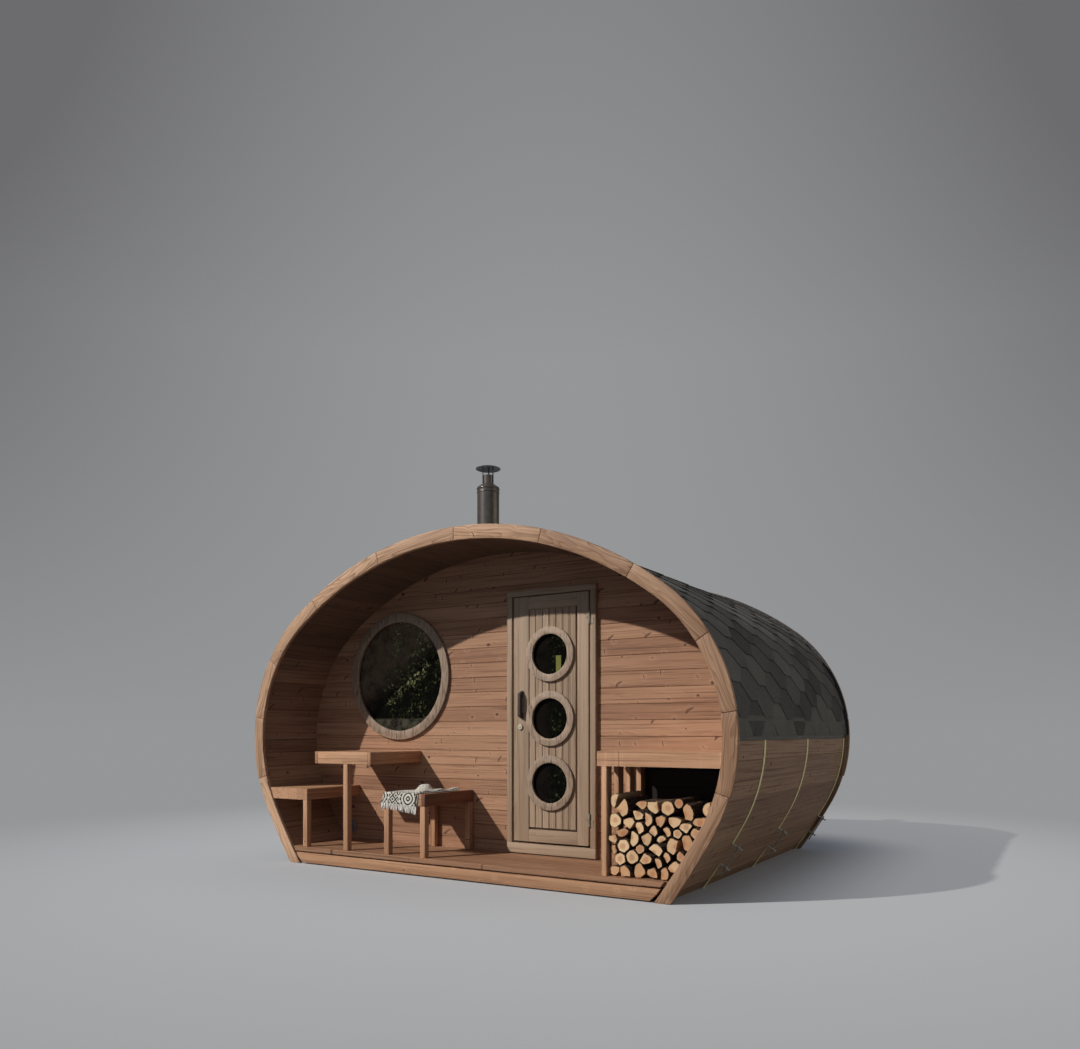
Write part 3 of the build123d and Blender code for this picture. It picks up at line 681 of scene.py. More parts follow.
def boards(name, nodes, along, across, joints, material, body="building", groove=0.003, gap=0.0016,
           short=-beyond):
    """Slabs as rows of grooved boards, each cut to its solid's outline or ended short of it."""
    depth = 3 - along - across
    axes = np.eye(3)[[along, across, depth]]
    skin = 0.0003            # that boards stay inside the slab's faces
    seam = 0.00005           # between the tongues of two boards
    meshes = []
    for node in nodes:
        low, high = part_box(node)
        face, back = low[depth] + skin, high[depth] - skin
        front_lip, back_lip = face + 3 * groove, back - 3 * groove
        shape = Shape()
        for start, end in zip(joints, joints[1:]):
            if end < low[across] or start > high[across]:
                continue
            side, other = start + gap / 2, end - gap / 2
            outline = [
                (side + groove, face), (other - groove / 2, face), (other, face + groove / 2),
                (other, front_lip), (end - seam, front_lip), (end - seam, back_lip), (other, back_lip),
                (other, back - groove / 2), (other - groove / 2, back),
                (side + groove, back), (side, back - groove), (side, back_lip), (start + seam, back_lip),
                (start + seam, front_lip), (side, front_lip), (side, face + groove),
            ]
            shape.prism(outline, low[along] + short, high[along] + beyond, "X")
        mesh = shape.mesh(node)
        mesh.transform(Matrix(axes.T.tolist()).to_4x4())
        if np.linalg.det(axes) < 0:
            mesh.flip_normals()
        meshes.append(cut(ease(mesh), cad_mesh(node), "INTERSECT"))
    mesh = ease(joined(meshes, name))
    set_grain(mesh, np.searchsorted(joints, corners_of(mesh)[:, across]), axes)
    piece(mesh, name, material, body, nodes)


def joint_row(first, pitch, low, high):
    """Places of board joints in a row, past both ends."""
    start = first - math.ceil((first - low) / pitch) * pitch
    return [start + number * pitch for number in range(math.ceil((high - start) / pitch) + 1)]


wall_joint = 0.320       # height of one joint between boards
wall_pitch = 0.1098
wall_joints = joint_row(wall_joint, wall_pitch, -0.02, height)
boards("wall_boards", ["front_wall_left", "front_wall_right", "front_wall_over_door"], 0, 2, wall_joints,
       walls_wood)
boards("rear_wall_boards", ["rear_wall"], 0, 2, wall_joints, walls_wood)
deck_low, deck_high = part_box("porch_deck")
deck_joints = joint_row(deck_low.y, (deck_high.y - deck_low.y) / 5, deck_low.y - 0.01, deck_high.y + 0.01)
boards("deck_boards", ["porch_deck"], 0, 1, deck_joints, deck_wood, groove=0.002, gap=0.004)
floor_low, floor_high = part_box("room_floor")
floor_pitch = 0.12
floor_joints = joint_row(floor_low.y, floor_pitch, floor_low.y - 0.01, floor_high.y + 0.01)
boards("floor_boards", ["room_floor"], 0, 1, floor_joints, walls_wood, groove=0.0015)
panel_low, panel_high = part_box("door_panel")
panel_gap = 0.015        # beside the last board and below all of them
panel_pitch = (panel_high.x - panel_gap - panel_low.x) / 7
boards("door_boards", ["door_panel"], 2, 0, [panel_low.x + number * panel_pitch for number in range(8)],
       door_wood, "door", groove=0.0035, gap=0.003, short=panel_gap)


# ---- Staves ----
def staves():
    """Flat boards round the outline, with a hole for the flue."""
    shape = Shape()
    inner = stave_inset + stave_thickness
    length = outline_run(math.degrees(math.acos(-base_centre.y / (base_radius - inner))))
    count = round(length / stave_pitch)
    groove, gap = 0.0022, 0.0006
    lowest = 0.0005          # so that no stave touches the ground
    for side in (1, -1):
        for number in range(count):
            ends = [outline_angle(length * (number + step) / count) for step in (0, 1)]
            outer_start, outer_end, inner_start, inner_end = [
                outline_point(end, inset) for inset in (stave_inset, inner) for end in ends]
            run_out = (outer_end - outer_start).normalized()
            slit = run_out * gap
            run_in = (inner_end - inner_start).normalized() * groove + slit
            down = (inner_start - outer_start).normalized() * groove
            down_end = (inner_end - outer_end).normalized() * groove
            outline = [
                outer_start + run_out * groove + slit, outer_end - run_out * groove - slit,
                outer_end - slit + down_end, inner_end - slit - down_end, inner_end - run_in,
                inner_start + run_in, inner_start + slit - down, outer_start + slit + down,
            ]
            level = [(side * spot.x, max(spot.y, lowest)) for spot in outline]
            shape.prism(level[::side], front + rim_thickness, rear - rim_thickness)
    pipe_low, pipe_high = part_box("chimney_pipe")
    middle = (pipe_low + pipe_high) / 2
    flue_gap = 0.002
    hole = Shape()
    rim_spots = circle((pipe_high.x - pipe_low.x) / 2 + flue_gap, 48)
    hole.prism([(middle.x + x, middle.y + y) for x, y in rim_spots], pipe_low.z - 0.3, pipe_high.z, "Z")
    mesh = ease(cut(ease(shape.mesh("staves")), ease(hole.mesh("hole")), "DIFFERENCE"))
    set_grain(mesh)
    piece(mesh, "staves", stave_wood, replaces=(
        "shell_crown", "shell_side_left", "shell_side_right", "shell_base_left", "shell_base_right"))


staves()


# ---- Sawn timber that keeps its solid's shape, with rounded edges ----
def timber(name, nodes, material, body="building", edge=0.003, axes=None, slanted=False, segments=2):
    """Solids of the frame with rounded edges, and each with its own grain."""
    mesh = joined([ease(cad_mesh(node), edge, segments) for node in nodes], name)
    set_grain(mesh, axes=axes, slanted=slanted)
    return piece(mesh, name, material, body, nodes).data


def rim(name, node, pale_side):
    """Rim segments, paler over the crown and on one side and darker on the other."""
    mesh = timber(name, [node], rim_wood, edge=0.006, slanted=True)
    points, labels = corners_of(mesh), parts_of(mesh)
    tone = np.zeros(len(points))
    for label in np.unique(labels):
        own = labels == label
        pale = points[own].mean(0)[0] * pale_side > -0.5
        tone[own] = (0.85 if pale else 0.12) + chance.uniform(-0.12, 0.12)
    mesh.attributes["tone"].data.foreach_set("value", tone.astype(np.float32))


upright = ((0, 0, 1), (1, 0, 0), (0, 1, 0))
deck_gap = 0.009         # dark joints under the deck's edge and under the beams
rim("rim_front_wood", "front_rim", -1)
rim("rim_rear_wood", "rear_rim", -3)
for point in timber("beams_wood", ["base_beams"], plank_wood).vertices:
    point.co.z += deck_gap if point.co.z < 0.01 else -deck_gap
timber("door_frame_wood", ["door_jamb_left", "door_jamb_right", "door_head", "door_sill"], door_wood,
       edge=0.002)
timber("legs_wood", ["furniture_legs"], plank_wood, edge=0.004)
timber("battens_wood", ["wood_store_battens"], plank_wood)
timber("vent_ring", ["wall_vent"], vent_grey, axes=upright)
timber("window_ring_wood", ["window_ring"], ring_wood, edge=0.004, axes=upright)
timber("porthole_rings", ["door_rings"], ring_wood, "door", edge=0.004, axes=upright)
timber("grips", ["door_handles"], grip_wood, "door", edge=0.005, segments=3)

leaf_low, leaf_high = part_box("door_leaf")


def grip_shade_webs():
    """Thin dark web in the hollow of each grip on one side, put there as painted shade for the shadow seen
    through the hollow.
    """
    low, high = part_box("door_handles")
    reach = 0.0245           # from the leaf's face into the grip
    end = 0.043              # of the grip, above and below the hollow
    shape = Shape()
    for near, far in ((leaf_low.y - reach, leaf_low.y), (leaf_high.y, leaf_high.y + reach)):
        shape.box((low.x + 0.001, near, low.z + end), (low.x + 0.004, far, high.z - end))
    mesh = ease(shape.mesh("grip_shade_webs"))
    set_grain(mesh)
    piece(mesh, "grip_shade_webs", grip_wood, "door")


def door_planks():
    """Stiles and rails of the door, with dark gaps round them and their panel."""
    shape = Shape()
    tiny = 0.0004
    gap_left, gap_right, gap_below, gap_above = 0.010, 0.009, 0.008, 0.001
    left, right = leaf_low.x + gap_left, leaf_high.x - gap_right
    bottom, top = leaf_low.z + gap_below, leaf_high.z - gap_above
    near, far = leaf_low.y, leaf_high.y
    shape.box((left, near, bottom), (panel_low.x - tiny, far, top))
    shape.box((panel_high.x + tiny, near, bottom), (right, far, top))
    shape.box((panel_low.x, near, bottom), (panel_high.x, far, panel_low.z - tiny))
    shape.box((panel_low.x, near, panel_high.z + tiny), (panel_high.x, far, top))
    # Strips behind the panel close the gaps beside its boards.
    near = panel_high.y + tiny
    far = near + 0.009
    shape.box((panel_high.x - 0.020, near, panel_low.z), (panel_high.x, far, panel_high.z))
    shape.box((panel_low.x, near, panel_low.z), (panel_high.x - 0.021, far, panel_low.z + 0.020))
    mesh = ease(shape.mesh("door_planks"), 0.002)
    set_grain(mesh)
    piece(mesh, "door_planks", door_wood, "door", ["door_leaf"])


grip_shade_webs()
door_planks()


# ---- Furniture ----
frame_board = 0.030      # thickness of the boards round a top


def framed_top(name, node):
    """Table or seat: five boards inside a frame of deeper ones, open at the wall."""
    low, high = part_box(node)
    shape = Shape()
    tiny = 0.0005
    half_gap, board_depth = 0.002, 0.026
    left, right, inner = low.x + frame_board, high.x - frame_board, low.y + frame_board
    shape.box((right + tiny, low.y, low.z), high)
    shape.box(low, (left - tiny, high.y, high.z))
    shape.box((left, low.y, low.z), (right, inner, high.z))
    pitch = (high.y - inner) / 5
    for number in range(5):
        shape.box((left + tiny, inner + number * pitch + half_gap, high.z - board_depth),
                  (right - tiny, inner + (number + 1) * pitch - half_gap, high.z - tiny))
    mesh = ease(shape.mesh(name), 0.003)
    set_grain(mesh)
    piece(mesh, name, plank_wood, replaces=[node])
    return mesh


framed_top("table_boards", "table_top")
seat = framed_top("right_seat_boards", "bench_right_seat")
bench_low, bench_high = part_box("bench_right_seat")
seat.materials.append(side_wood)
for face in seat.polygons:
    face.material_index = int(face.center.x > bench_high.x - frame_board)
seat_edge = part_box("bench_left_seat")[1].x
# The left bench's boards are of uneven widths, out to the wall.
seat_joints = [-2.0, -1.87, -1.75, -1.64, -1.53, seat_edge - frame_board, seat_edge + 0.01]
boards("left_seat_boards", ["bench_left_seat"], 1, 0, seat_joints, plank_wood,
       groove=0.002, gap=0.002)
counter_low, counter_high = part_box("wood_store_counter")
counter_first = counter_low.y + frame_board
counter_pitch = (counter_high.y + 0.01 - counter_first) / 5
counter_joints = [counter_low.y - 0.01] + [counter_first + counter_pitch * number for number in range(6)]
boards("counter_boards", ["wood_store_counter"], 0, 1, counter_joints, plank_wood,
       groove=0.002, gap=0.002)


# ---- Firewood ----
log_inset = 0.0035       # so that dark gaps show between the logs
bark_width = 0.0035
log_slices = 7
log_step = 0.008         # length of the short sides that a log's side is parted into
split_share = 0.62       # of the longest side, from which a side is a split face
round_sides = 11         # a log with as many sides isn't split
upward_share = 0.35      # how far a side has to face upwards to keep its bark


def firewood():
    """Logs with bark on their round sides, split faces and rough cut ends."""
    mesh = cad_mesh("firewood")
    labels, points = parts_of(mesh), corners_of(mesh)
    shape = Shape()
    grains, tones, kinds = [], [], []
    for label in np.unique(labels):
        own = points[labels == label]
        near, far = own[:, 1].min(), own[:, 1].max()
        section = own[own[:, 1] < (near + far) / 2]
        away = section - section.mean(0)
        outline = section[np.argsort(np.arctan2(away[:, 2], away[:, 0]))][:, [0, 2]]
        add_log(shape, outline, near, far, grains, tones, kinds)
    mesh = shape.mesh("logs")
    set_attribute(mesh, "grain", np.array(grains))
    set_attribute(mesh, "tone", np.array(tones))
    mesh.polygons.foreach_set("use_smooth", np.array(kinds) == 1)
    work = bmesh.new()
    work.from_mesh(mesh)
    for edge in work.edges:
        edge.smooth = edge.calc_face_angle(3) < math.radians(50)
    piece(written(work, mesh), "logs", [log_wood, log_bark], replaces=["firewood"])
    mesh.polygons.foreach_set("material_index", kinds)


def pith_of(outline, middle, split):
    """Where two split faces meet, the middle of a single one, or the log's own middle."""
    after = np.roll(outline, -1, axis=0)
    flat = [number for number, is_split in enumerate(split) if is_split]
    if len(flat) == 1:
        return (outline[flat[0]] + after[flat[0]]) / 2
    meeting = [number for number in flat if split[(number + 1) % len(split)]]
    return after[meeting[-1]] if meeting else middle


def add_log(shape, outline, near, far, grains, tones, kinds):
    """One log: its outline with uneven sides, in slices along its length."""
    middle = outline.mean(0)
    reach = np.linalg.norm(outline - middle, axis=1, keepdims=True)
    outline = outline - (outline - middle) * (log_inset / reach)
    sides = list(zip(outline, np.roll(outline, -1, axis=0)))
    lengths = [math.dist(start, end) for start, end in sides]
    upward = [(start[0] - end[0]) / length > upward_share for (start, end), length in zip(sides, lengths)]
    split = [length > split_share * max(lengths) and len(sides) < round_sides and not up
             for length, up in zip(lengths, upward)]
    pith = pith_of(outline, middle, split)
    ring, barked = [], []
    for (start, end), length, is_split in zip(sides, lengths, split):
        pieces = max(2, round(length / log_step))
        normal = np.array([end[1] - start[1], start[0] - end[0]]) / length
        for step in range(pieces):
            rough = chance.uniform(-0.0016, 0.0002)
            ring.append(start + (end - start) * (step + 0.5) / pieces + normal * rough)
            barked.append(int(not is_split))
    count = len(ring)
    shift = (chance.uniform(0, 30), chance.uniform(-0.002, 0.002), chance.uniform(-0.002, 0.002))
    tone = chance.random()
    skew = (chance.uniform(-0.004, 0.004), chance.uniform(-0.004, 0.004))
    points = []
    for number in range(log_slices):
        inner = 0 < number < log_slices - 1
        for spot in ring:
            away = spot - middle
            place = spot + away / np.linalg.norm(away) * (chance.uniform(-0.0012, 0.0) if inner else 0)
            along = near + (far - near) * number / (log_slices - 1)
            if number == 0:
                along += (skew[0] * away[0] + skew[1] * away[1]) / 0.05
            points.append((place[0], along, place[1]))
    faces = net(log_slices, count)
    kinds += barked * (log_slices - 1)
    # Each end is a shallow rim inside the bark and a face of rough sawn wood.
    for base, sign in ((0, 1), ((log_slices - 1) * count, -1)):
        first = len(points)
        for number in range(count):
            spot = np.array(points[base + number])
            inside = np.array([middle[0], spot[1], middle[1]]) - spot
            width = bark_width if barked[number] or barked[number - 1] else 0.001
            points.append(tuple(spot + inside * (width / np.linalg.norm(inside)) + (0, -0.0012 * sign, 0)))
            after = (number + 1) % count
            faces.append([base + after, base + number, first + number, first + after][::sign])
        kinds += barked + [0]
        faces.append(list(range(first, first + count))[::sign])
    shape.add(points, faces)
    grains += [(y + shift[0], x - pith[0] + shift[1], z - pith[1] + shift[2]) for x, y, z in points]
    tones += [tone] * len(points)


firewood()


# ---- Roofing ----
tab_pitch = 0.476
tab_exposure = 0.1095
tab_bottom = 0.133
tab_wide = 0.343
tab_length = 0.25
tab_thickness = 0.003
tab_phases = (-0.990, -0.753)
tab_top_inset = 0.0215   # below the rims' outline, at its bottom edge
tab_low_inset = 0.0305   # and at its covered end
least_width = 0.002      # of what is left of a tab at a rim
roof_length = outline_run(roof_edge)


def roof_spot(run, inset, side):
    """Point of the roof, at a run up from its edge."""
    spot = outline_point(outline_angle(max(0, roof_length - run)), inset)
    return side * spot.x, spot.y


def shingles():
    """Six-sided tabs in overlapping courses, cut off at the rims, on a base sheet."""
    low = front + rim_thickness + 0.001
    high = rear - rim_thickness - 0.001
    shape = Shape()
    widening = tab_exposure - 0.004
    steps = (0, 0.035, 0.07, widening, 0.15, 0.2, tab_length)
    for side in (1, -1):
        for course in range(math.ceil(roof_length / tab_exposure)):
            middle = tab_phases[course % 2] - 4 * tab_pitch
            while middle - tab_wide / 2 < high:
                sag = chance.uniform(-0.0008, 0.0008)
                slip = chance.uniform(-0.003, 0.003)
                rows = []
                for step in steps:
                    half = (tab_bottom + (tab_wide - tab_bottom) * min(1, step / widening)) / 2
                    start, end = max(low, middle + slip - half), min(high, middle + slip + half)
                    run = course * tab_exposure + step + slip / 2
                    if start < end - least_width and run <= roof_length:
                        share = step / tab_length
                        inset = tab_top_inset + (tab_low_inset - tab_top_inset) * share + sag * (1 - share)
                        rows.append((run, start, end, inset))
                middle += tab_pitch
                if len(rows) > 1:
                    add_tab(shape, rows, side)
    # A base sheet up the whole slope, a starter strip that fills the lowest notches, and the sheet's
    # upturned end against the rear rim.
    for reach, pitch, top, under, start, end in (
        (roof_length, 0.03, 0.031, 0.0328, low, high),
        (0.125, 0.03, 0.0249, 0.0309, low, high),
        (roof_length, 0.05, 0.0012, 0.03, high - 0.004, high + 0.0006),
    ):
        count = math.ceil(reach / pitch)
        runs = [reach * number / count for number in range(count + 1)]
        outline = [roof_spot(run, top, 1) for run in runs] + [roof_spot(run, under, 1) for run in runs[::-1]]
        for side in (1, -1):
            shape.prism([(side * x, z) for x, z in outline], start, end)
    add_ridge(shape, low, high)
    mesh = ease(shape.mesh("shingles"))
    set_grain(mesh, axes=np.eye(3))
    piece(mesh, "shingles", roof_skin, replaces=("roofing_left", "roofing_right"))


def add_tab(shape, rows, side):
    """Closed slab through rows of (run, start, end, inset)."""
    points = []
    for run, start, end, inset in rows:
        (x, z), (low_x, low_z) = [roof_spot(run, inset + depth, side) for depth in (0, tab_thickness)]
        points += [(x, start, z), (x, end, z), (low_x, end, low_z), (low_x, start, low_z)]
    last = len(points)
    shape.add(points, net(len(rows), 4) + [[3, 2, 1, 0], [last - 4, last - 3, last - 2, last - 1]])


def add_ridge(shape, low, high):
    """Overlapping caps bent over the crown."""
    exposure, length, reach = 0.14, 0.30, 0.125
    steps = 8
    places = [(step * 2 / steps - 1) * reach for step in range(steps + 1)]
    around = 2 * len(places)
    for number in range(math.ceil((high - low) / exposure)):
        start = low + number * exposure
        points = []
        for inset, at in ((0.0165, start), (0.0225, min(high, start + length))):
            for depth, row in ((0, places), (tab_thickness, places[::-1])):
                for across in row:
                    spot = outline_point(math.degrees(abs(across) / top_radius), inset + depth)
                    points.append((math.copysign(spot.x, across), at, spot.y))
        shape.add(points, net(2, around) + [list(range(around))[::-1], list(range(around, 2 * around))])


shingles()


# ---- Metal and glass that keep their solids ----
for node, material in {
    "bands": band_zinc, "band_tensioners": zinc, "hinges_on_frame": dull_zinc,
    "hinges_and_lock_on_door": dull_zinc, "roof_edge_strips": edge_metal, "chimney_pipe": dark_metal,
    "chimney_cowl": cowl_metal, "chimney_flashing": dark_metal, "door_glass": door_pane,
    "window_glass": window_pane,
}.items():
    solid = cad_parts[node].data
    solid.materials.clear()
    solid.materials.append(material)


# ---- Small metal parts ----
half_band = 0.014
middle_band = 0.1937     # its place along Y
nut_radius = 0.0095
nut_faces = (0.0032, 0.0112)  # from the middle of an ear
lock_aside = 0.069       # from the door's left edge
lock_level = 0.832       # from its bottom
lock_depth = 0.008       # that the lock's plate stands proud of the door


def tensioner_nuts():
    """Hexagon nuts on both faces of each ear."""
    shape = Shape()
    standoff = 0.010     # from the outline to the rod's middle
    ears = [outline_point(angle, -standoff) for angle in (121, 123)]
    ahead = (ears[1] - ears[0]).normalized()
    low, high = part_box("band_tensioners")
    for y in (low.y + half_band, middle_band, high.y - half_band):
        for side in (1, -1):
            for ear in ears:
                for way in (-1, 1):
                    ends = [ear + ahead * way * reach for reach in nut_faces]
                    shape.tube([Vector((side * spot.x, y, spot.y)) for spot in ends], [nut_radius] * 2)
    piece(ease(shape.mesh("tensioner_nuts"), 0.0008, 1), "tensioner_nuts", bright_zinc)


def lock_face():
    """Bright rose with a cylinder, whose keyway is a dark slot."""
    centre = Vector((leaf_low.x + lock_aside, 0, leaf_low.z + lock_level))
    face = leaf_low.y - lock_depth
    shape = Shape()
    for back, shoulder, out, radius, bevel, steps in ((0, 0.0008, 0.0025, 0.0195, 0.002, 40),
                                                      (0.0024, 0.004, 0.0048, 0.0083, 0.0008, 28)):
        shape.lathe([(0, face - out), (radius - bevel, face - out), (radius, face - shoulder),
                     (radius, face - back), (0, face - back)], centre, "Y", steps, closed=False)
    piece(ease(shape.mesh("lock_rose")), "lock_rose", bright_zinc, "door")
    slot = Shape()
    middle, half = centre + Vector((0, face - 0.00495, 0)), Vector((0.0007, 0.00025, 0.0045))
    slot.box(middle - half, middle + half)
    piece(ease(slot.mesh("keyway")), "keyway", seal, "door")


def chimney_beads():
    """Rolled beads round the top of the flue."""
    low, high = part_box("chimney_pipe")
    radius = (high.x - low.x) / 2
    centre = Vector(((low.x + high.x) / 2, (low.y + high.y) / 2, 0))
    half = 0.008
    shape = Shape()
    for level, depth in ((3.222, 0.005), (3.190, 0.004)):
        profile = [(radius - 0.001, level + half)]
        for step in range(7):
            turn = math.pi * step / 6
            profile.append((radius - 0.0005 + depth * math.sin(turn), level + half * math.cos(turn)))
        shape.lathe(profile + [(radius - 0.001, level - half)], centre, "Z")
    piece(ease(shape.mesh("chimney_beads"), smooth=60), "chimney_beads", dark_metal)


tensioner_nuts()
lock_face()
chimney_beads()


# ---- Towel ----
front_drop = 0.078       # that the towel hangs over the bench's front
side_drop = 0.072        # and over its left side
towel_right = -0.322     # its right edge, near the front
towel_rear = -0.945
flat_width = towel_right - bench_low.x + side_drop
flat_length = towel_rear - bench_low.y + front_drop
medallion_pitch = 0.26
medallion_spot = (0.086, flat_length - 0.049)
lattice_pitch = 0.056
thread = 0.0024
fold_spot = (0.130, 0.245)
fold_reach = (0.052, 0.062)
fold_height = 0.056
side_fold_spot = 0.036
side_fold_height = side_fold_reach = 0.022
side_fold_end = 0.42


def towel_fabric():
    """Cream cotton with a dark traditional pattern of nested diamonds, woven."""
    n = Nodes("towel_cotton")
    flat = n.add("Attribute", attribute_name="flat")["Vector"]
    u, v, _ = flat.split()
    length = medallion_pitch * 1.3
    across = (u - medallion_spot[0] + medallion_pitch * 9.5) % medallion_pitch - medallion_pitch / 2
    along = (v - medallion_spot[1] + length * 9.5) % length - length / 2
    reach = (abs(across) + abs(along)) * 0.18 + n.length(across, along) * 0.82
    waves = (reach * (math.tau / 0.0275) + math.pi).apply("COSINE")
    teeth = (along.apply("ARCTAN2", across) * 14.0).apply("SINE") * reach.between(0.064, 0.068)
    medallion = (teeth * 0.9 + waves).between(0.1, 0.4)
    # Between the medallions runs a lattice of small diamonds.
    leaning = [abs((v * slope + (u + 4.0)) % lattice_pitch - lattice_pitch / 2) for slope in (1.0, -1.0)]
    widest = leaning[0].apply("MAXIMUM", leaning[1])
    diamonds = widest.between(0.0205, 0.0225).apply("MAXIMUM", widest.between(0.0105, 0.0090))
    inside = reach.between(0.096, 0.093)
    pattern = inside * (medallion - diamonds) + diamonds
    fuzz = flat.noise(900.0, 3.0, 0.7)
    dark = (pattern + (fuzz * 0.5 - 0.25)).between(0.35, 0.65)
    dark = dark * v.between(flat_length - 0.15, flat_length - 0.19, 1.0, 0.25)
    border = abs(u - 0.013).between(0.009, 0.007) * flat.noise(60.0, 2.0).between(0.38, 0.46)
    dark = dark.apply("MAXIMUM", border)
    color = n.mix(dark, rgb(218, 208, 190), rgb(46, 41, 37)).scaled(fuzz * 0.4 + 0.8)
    weave = (v * (math.tau / thread)).apply("SINE") * (u * (math.tau / thread)).apply("SINE")
    n.bump(fuzz * 0.8 + weave * 0.5, 0.0008, 0.8)
    return n.finish(color, 0.9, Specular_IOR_Level=0.15, Sheen_Weight=0.2)


def fringe_cotton():
    """Undyed cotton of the tassels."""
    n = Nodes("fringe_cotton")
    fuzz = n.spot().noise((900, 900, 270))
    n.bump(fuzz, 0.0006, 0.8)
    color = n.mix(fuzz, rgb(228, 220, 204), rgb(255, 250, 238))
    return n.finish(color, 0.9, Specular_IOR_Level=0.15, Sheen_Weight=0.2)


def flat_point(u, v):
    """Place of a point of the cloth held level over the bench, turned a little and with wavy edges."""
    x = towel_right - u + 0.044 * (1 - v / flat_length) + 0.004 * math.sin(v * 31) * (1 - u / flat_width)
    y = towel_rear - v - 0.056 * (flat_width / 2 - u) + 0.004 * math.sin(u * 23) * (1 - v / flat_length)
    ripple = 0.002 * math.sin(u * 34 + v * 11) * math.sin(v * 27 - u * 9)
    return Vector((x, y, bench_high.z + 0.010 + ripple))


def settle(mesh, low, high, frames):
    """Let a level sheet fall over a box, and keep the shape it comes to rest in."""
    scene = bpy.context.scene
    solid = Shape()
    solid.box(low, high)
    block = placed("block", ease(solid.mesh("block"), 0.004))
    sheet = placed("falling", mesh)
    block.modifiers.new("collision", "COLLISION")
    block.collision.thickness_outer = 0.002
    block.collision.cloth_friction = 40
    fall = sheet.modifiers.new("fall", "CLOTH")
    fall.settings.quality = 7
    fall.settings.mass = 0.25
    fall.settings.air_damping = 2
    fall.settings.bending_stiffness = 0.06
    fall.collision_settings.distance_min = 0.002
    fall.collision_settings.collision_quality = 3
    for number in range(1, frames + 1):
        scene.frame_set(number)
    rest = sheet.evaluated_get(bpy.context.evaluated_depsgraph_get())
    points = corners_of(rest.to_mesh())
    rest.to_mesh_clear()
    for item in (block, sheet):
        bpy.data.objects.remove(item)
    scene.frame_set(1)
    return points


def towel():
    """Cloth laid over the bench's front and left edges, with a fringe along the front."""
    columns, rows = 60, 84
    place = flat_point
    flat = np.array([(flat_width * column / columns, flat_length * row / rows, 0)
                     for row in range(rows + 1) for column in range(columns + 1)])
    shape = Shape()
    shape.add([place(u, v) for u, v, _ in flat], net(rows + 1, columns + 1, closed_columns=False))
    mesh = shape.mesh("towel_cloth")
    points = corners_of(mesh)
    points = settle(mesh.copy(), (*bench_low.xy, bench_low.z - 0.1), bench_high, 40)
    # A rucked fold stands up in the middle, and a low one runs along the right edge.
    u, v, _ = flat.T
    away = ((u - fold_spot[0]) / fold_reach[0]) ** 2 + ((v - fold_spot[1]) / fold_reach[1]) ** 2
    points[:, 2] += fold_height * np.exp(-away**1.5) * (0.95 + 0.05 * np.sin(u * 85 + v * 50))
    side_fold = np.exp(-((u - side_fold_spot) / side_fold_reach) ** 2)
    side_fold *= np.clip((side_fold_end - v) / 0.08, 0, 1)
    points[:, 2] += side_fold_height * side_fold * (0.75 + 0.25 * np.sin(v * 40))
    mesh.vertices.foreach_set("co", points.ravel())
    set_attribute(mesh, "flat", flat)
    mesh.polygons.foreach_set("use_smooth", [True] * len(mesh.polygons))
    cloth = piece(mesh, "towel_cloth", towel_fabric(), replaces=["towel"])
    thickness = cloth.modifiers.new("thickness", "SOLIDIFY")
    thickness.thickness = 0.0018
    thickness.offset = 1
    smooth = cloth.modifiers.new("smooth", "SUBSURF")
    smooth.levels = smooth.render_levels = 1
    fringe = towel_fringe([Vector(point) for point in points[-(columns + 1):]])


def towel_fringe(edge):
    """Twisted tassels along the front edge."""
    shape = Shape()
    count = 27
    for number in range(count):
        place = (number + 0.5) / count * (len(edge) - 1)
        spot = edge[int(place)].lerp(edge[min(int(place) + 1, len(edge) - 1)], place % 1)
        lean = chance.uniform(-0.009, 0.009)
        for strand in range(4):
            sway = Vector((lean + chance.uniform(-0.003, 0.003), chance.uniform(-0.006, 0.001), 0))
            length = chance.uniform(0.038, 0.048) * (1.3 - 0.5 * number / count)
            start = spot + Vector(((strand - 1.5) * 0.0016, -0.001, 0.003))
            path = []
            for share in (0, 0.25, 0.5, 0.75, 1):
                twist = 0.0010 * math.sin(share * 9 + strand * 2)
                path.append(start + sway * share**2 + Vector((twist, 0, -length * share)))
            shape.tube(path, [0.0015, 0.0018, 0.0018, 0.0016, 0.0008], 5)
    return piece(ease(shape.mesh("towel_fringe"), smooth=80), "towel_fringe", fringe_cotton())


towel()


# ---- Camera, light and floor ----
backdrop_color = rgb(149, 150, 152)
upper_backdrop = rgb(108, 108, 111)
floor_color = rgb(191, 191, 189)
half_footprint = (1.25, 1.42)  # of the building, across and along


def look():
    """Camera at the photograph's angle."""
    data = bpy.data.cameras.new("camera")
    data.sensor_width = 36
    data.lens = 28.437
    data.shift_x = -0.01065
    data.shift_y = 0.1925
    camera = placed("camera", data)
    camera.location = (3.5764, -6.0273, 1.0057)
    camera.rotation_euler = (math.radians(90), 0, math.radians(31.237))
    bpy.context.scene.camera = camera


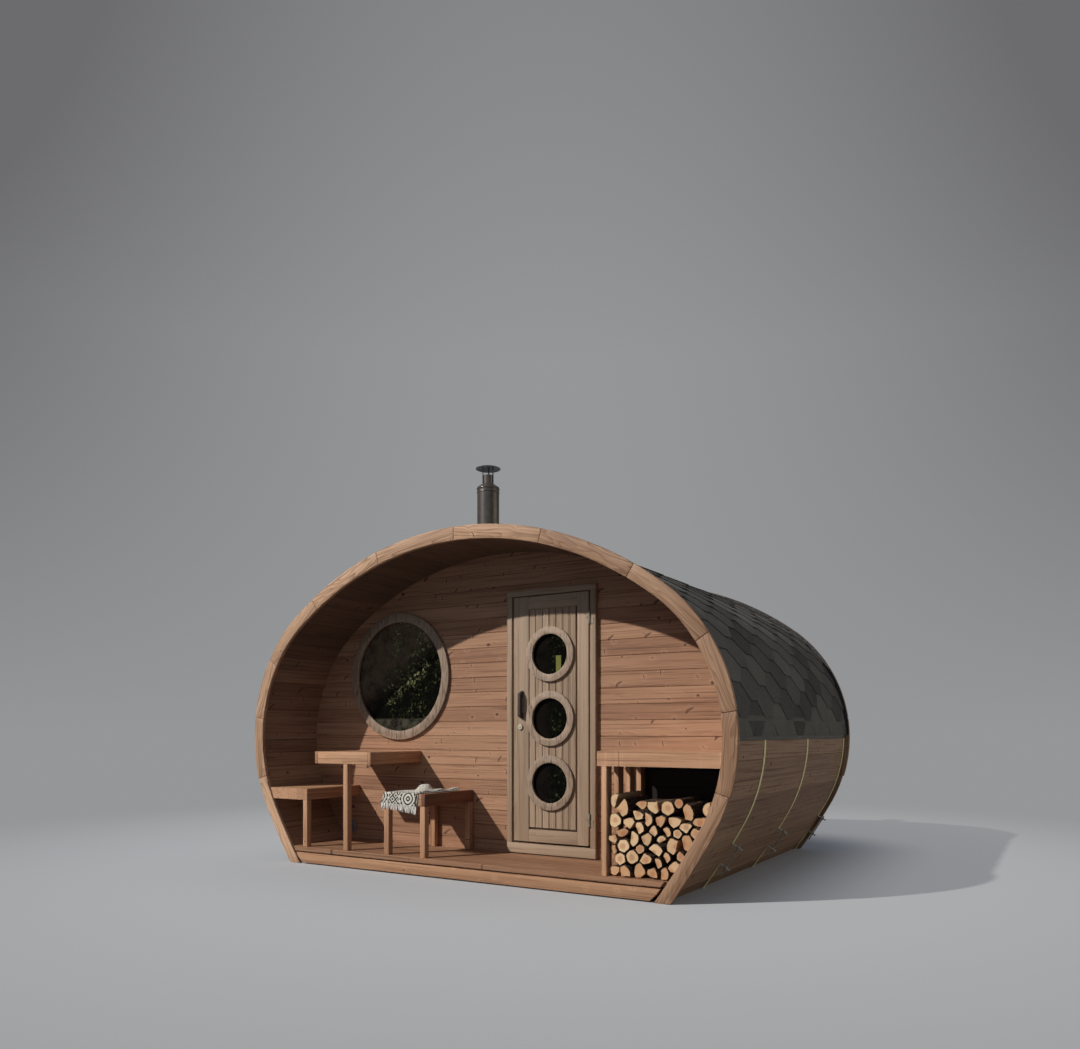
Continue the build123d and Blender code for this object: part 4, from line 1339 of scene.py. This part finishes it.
def light():
    """Low key light from the left in front, weak soft ones from the right and the front, and a fill."""
    for name, energy, color, angle, way in (
        ("key", 3.3, (1.0, 1.0, 1.0), 1, (0.478, 0.683, -0.578)),
        ("side", 0.48, (1.0, 0.88, 0.64), 40, (-0.88, -0.38, -0.25)),
        ("front", 0.22, (0.84, 0.93, 1.0), 80, (-0.25, 0.96, -0.08)),
    ):
        data = bpy.data.lights.new(name, "SUN")
        data.energy = energy
        data.color = color
        data.angle = math.radians(angle)
        placed(name, data).rotation_euler = Vector(way).to_track_quat("-Z", "Y").to_euler()
    n = Nodes("world", "worlds")
    bpy.context.scene.world = n.owner
    fill = n.add("Background", ((0.78, 1.0, 1.42, 1), 0.155))
    # What is seen behind the object darkens upwards and towards both sides.
    way = n.add("TexCoord")["Generated"]
    _, _, up = way.split()
    aside = abs(way.vector("DOT_PRODUCT", (0.855, 0.519, 0))) ** 2.0 * up * 7.9
    over = (up - 0.40).apply("MAXIMUM", 0.0) * 1.7
    darker = (aside + over).apply("MAXIMUM", 0.0).apply("MINIMUM", 1.0)
    backdrop = n.add("Background", {0: n.mix(darker, backdrop_color, upper_backdrop)})
    mix = n.add("MixShader", (n.seen(), fill[0], backdrop[0]))
    n.put(n.tree.nodes["World Output"].inputs[0], mix[0])


def floor():
    """Pale floor that fades into the backdrop far away."""
    shape = Shape()
    shape.prism(circle(14, 64), -0.02, 0, "Z")
    mesh = shape.mesh("floor")
    n = Nodes("floor")
    mesh.materials.append(n.finish(floor_color, 0.9, Specular_IOR_Level=0.1))
    spot = n.spot()
    x, y, _ = spot.split()
    past = [(abs(place) - half).apply("MAXIMUM", 0.0) for place, half in zip((x, y), half_footprint)]
    # Painted light: an emission that grows away from the building lightens the floor and its shadow, so the
    # shadow is deepest beside the building and fades away from it.
    painted_floor_light = n.add("Emission", {"Color": rgb(174, 174, 176)})
    share = n.length(*past).between(0.4, 1.5, 0.0, 0.52)
    near = n.add("MixShader", (share, n.shader.outputs[0], painted_floor_light[0]))
    backdrop = n.add("Emission", {"Color": backdrop_color})
    mix = n.add("MixShader", (spot.vector("LENGTH").between(2.2, 7.0), near[0], backdrop[0]))
    # Light that it throws back on the object is that of darker ground.
    ground = n.add("BsdfDiffuse", {"Color": rgb(100, 102, 106)})
    both = n.add("MixShader", (n.seen(), ground[0], mix[0]))
    n.put(n.tree.nodes["Material Output"].inputs[0], both[0])
    placed("floor", mesh)


look()
light()
floor()
bpy.context.scene.view_settings.view_transform = "Standard"
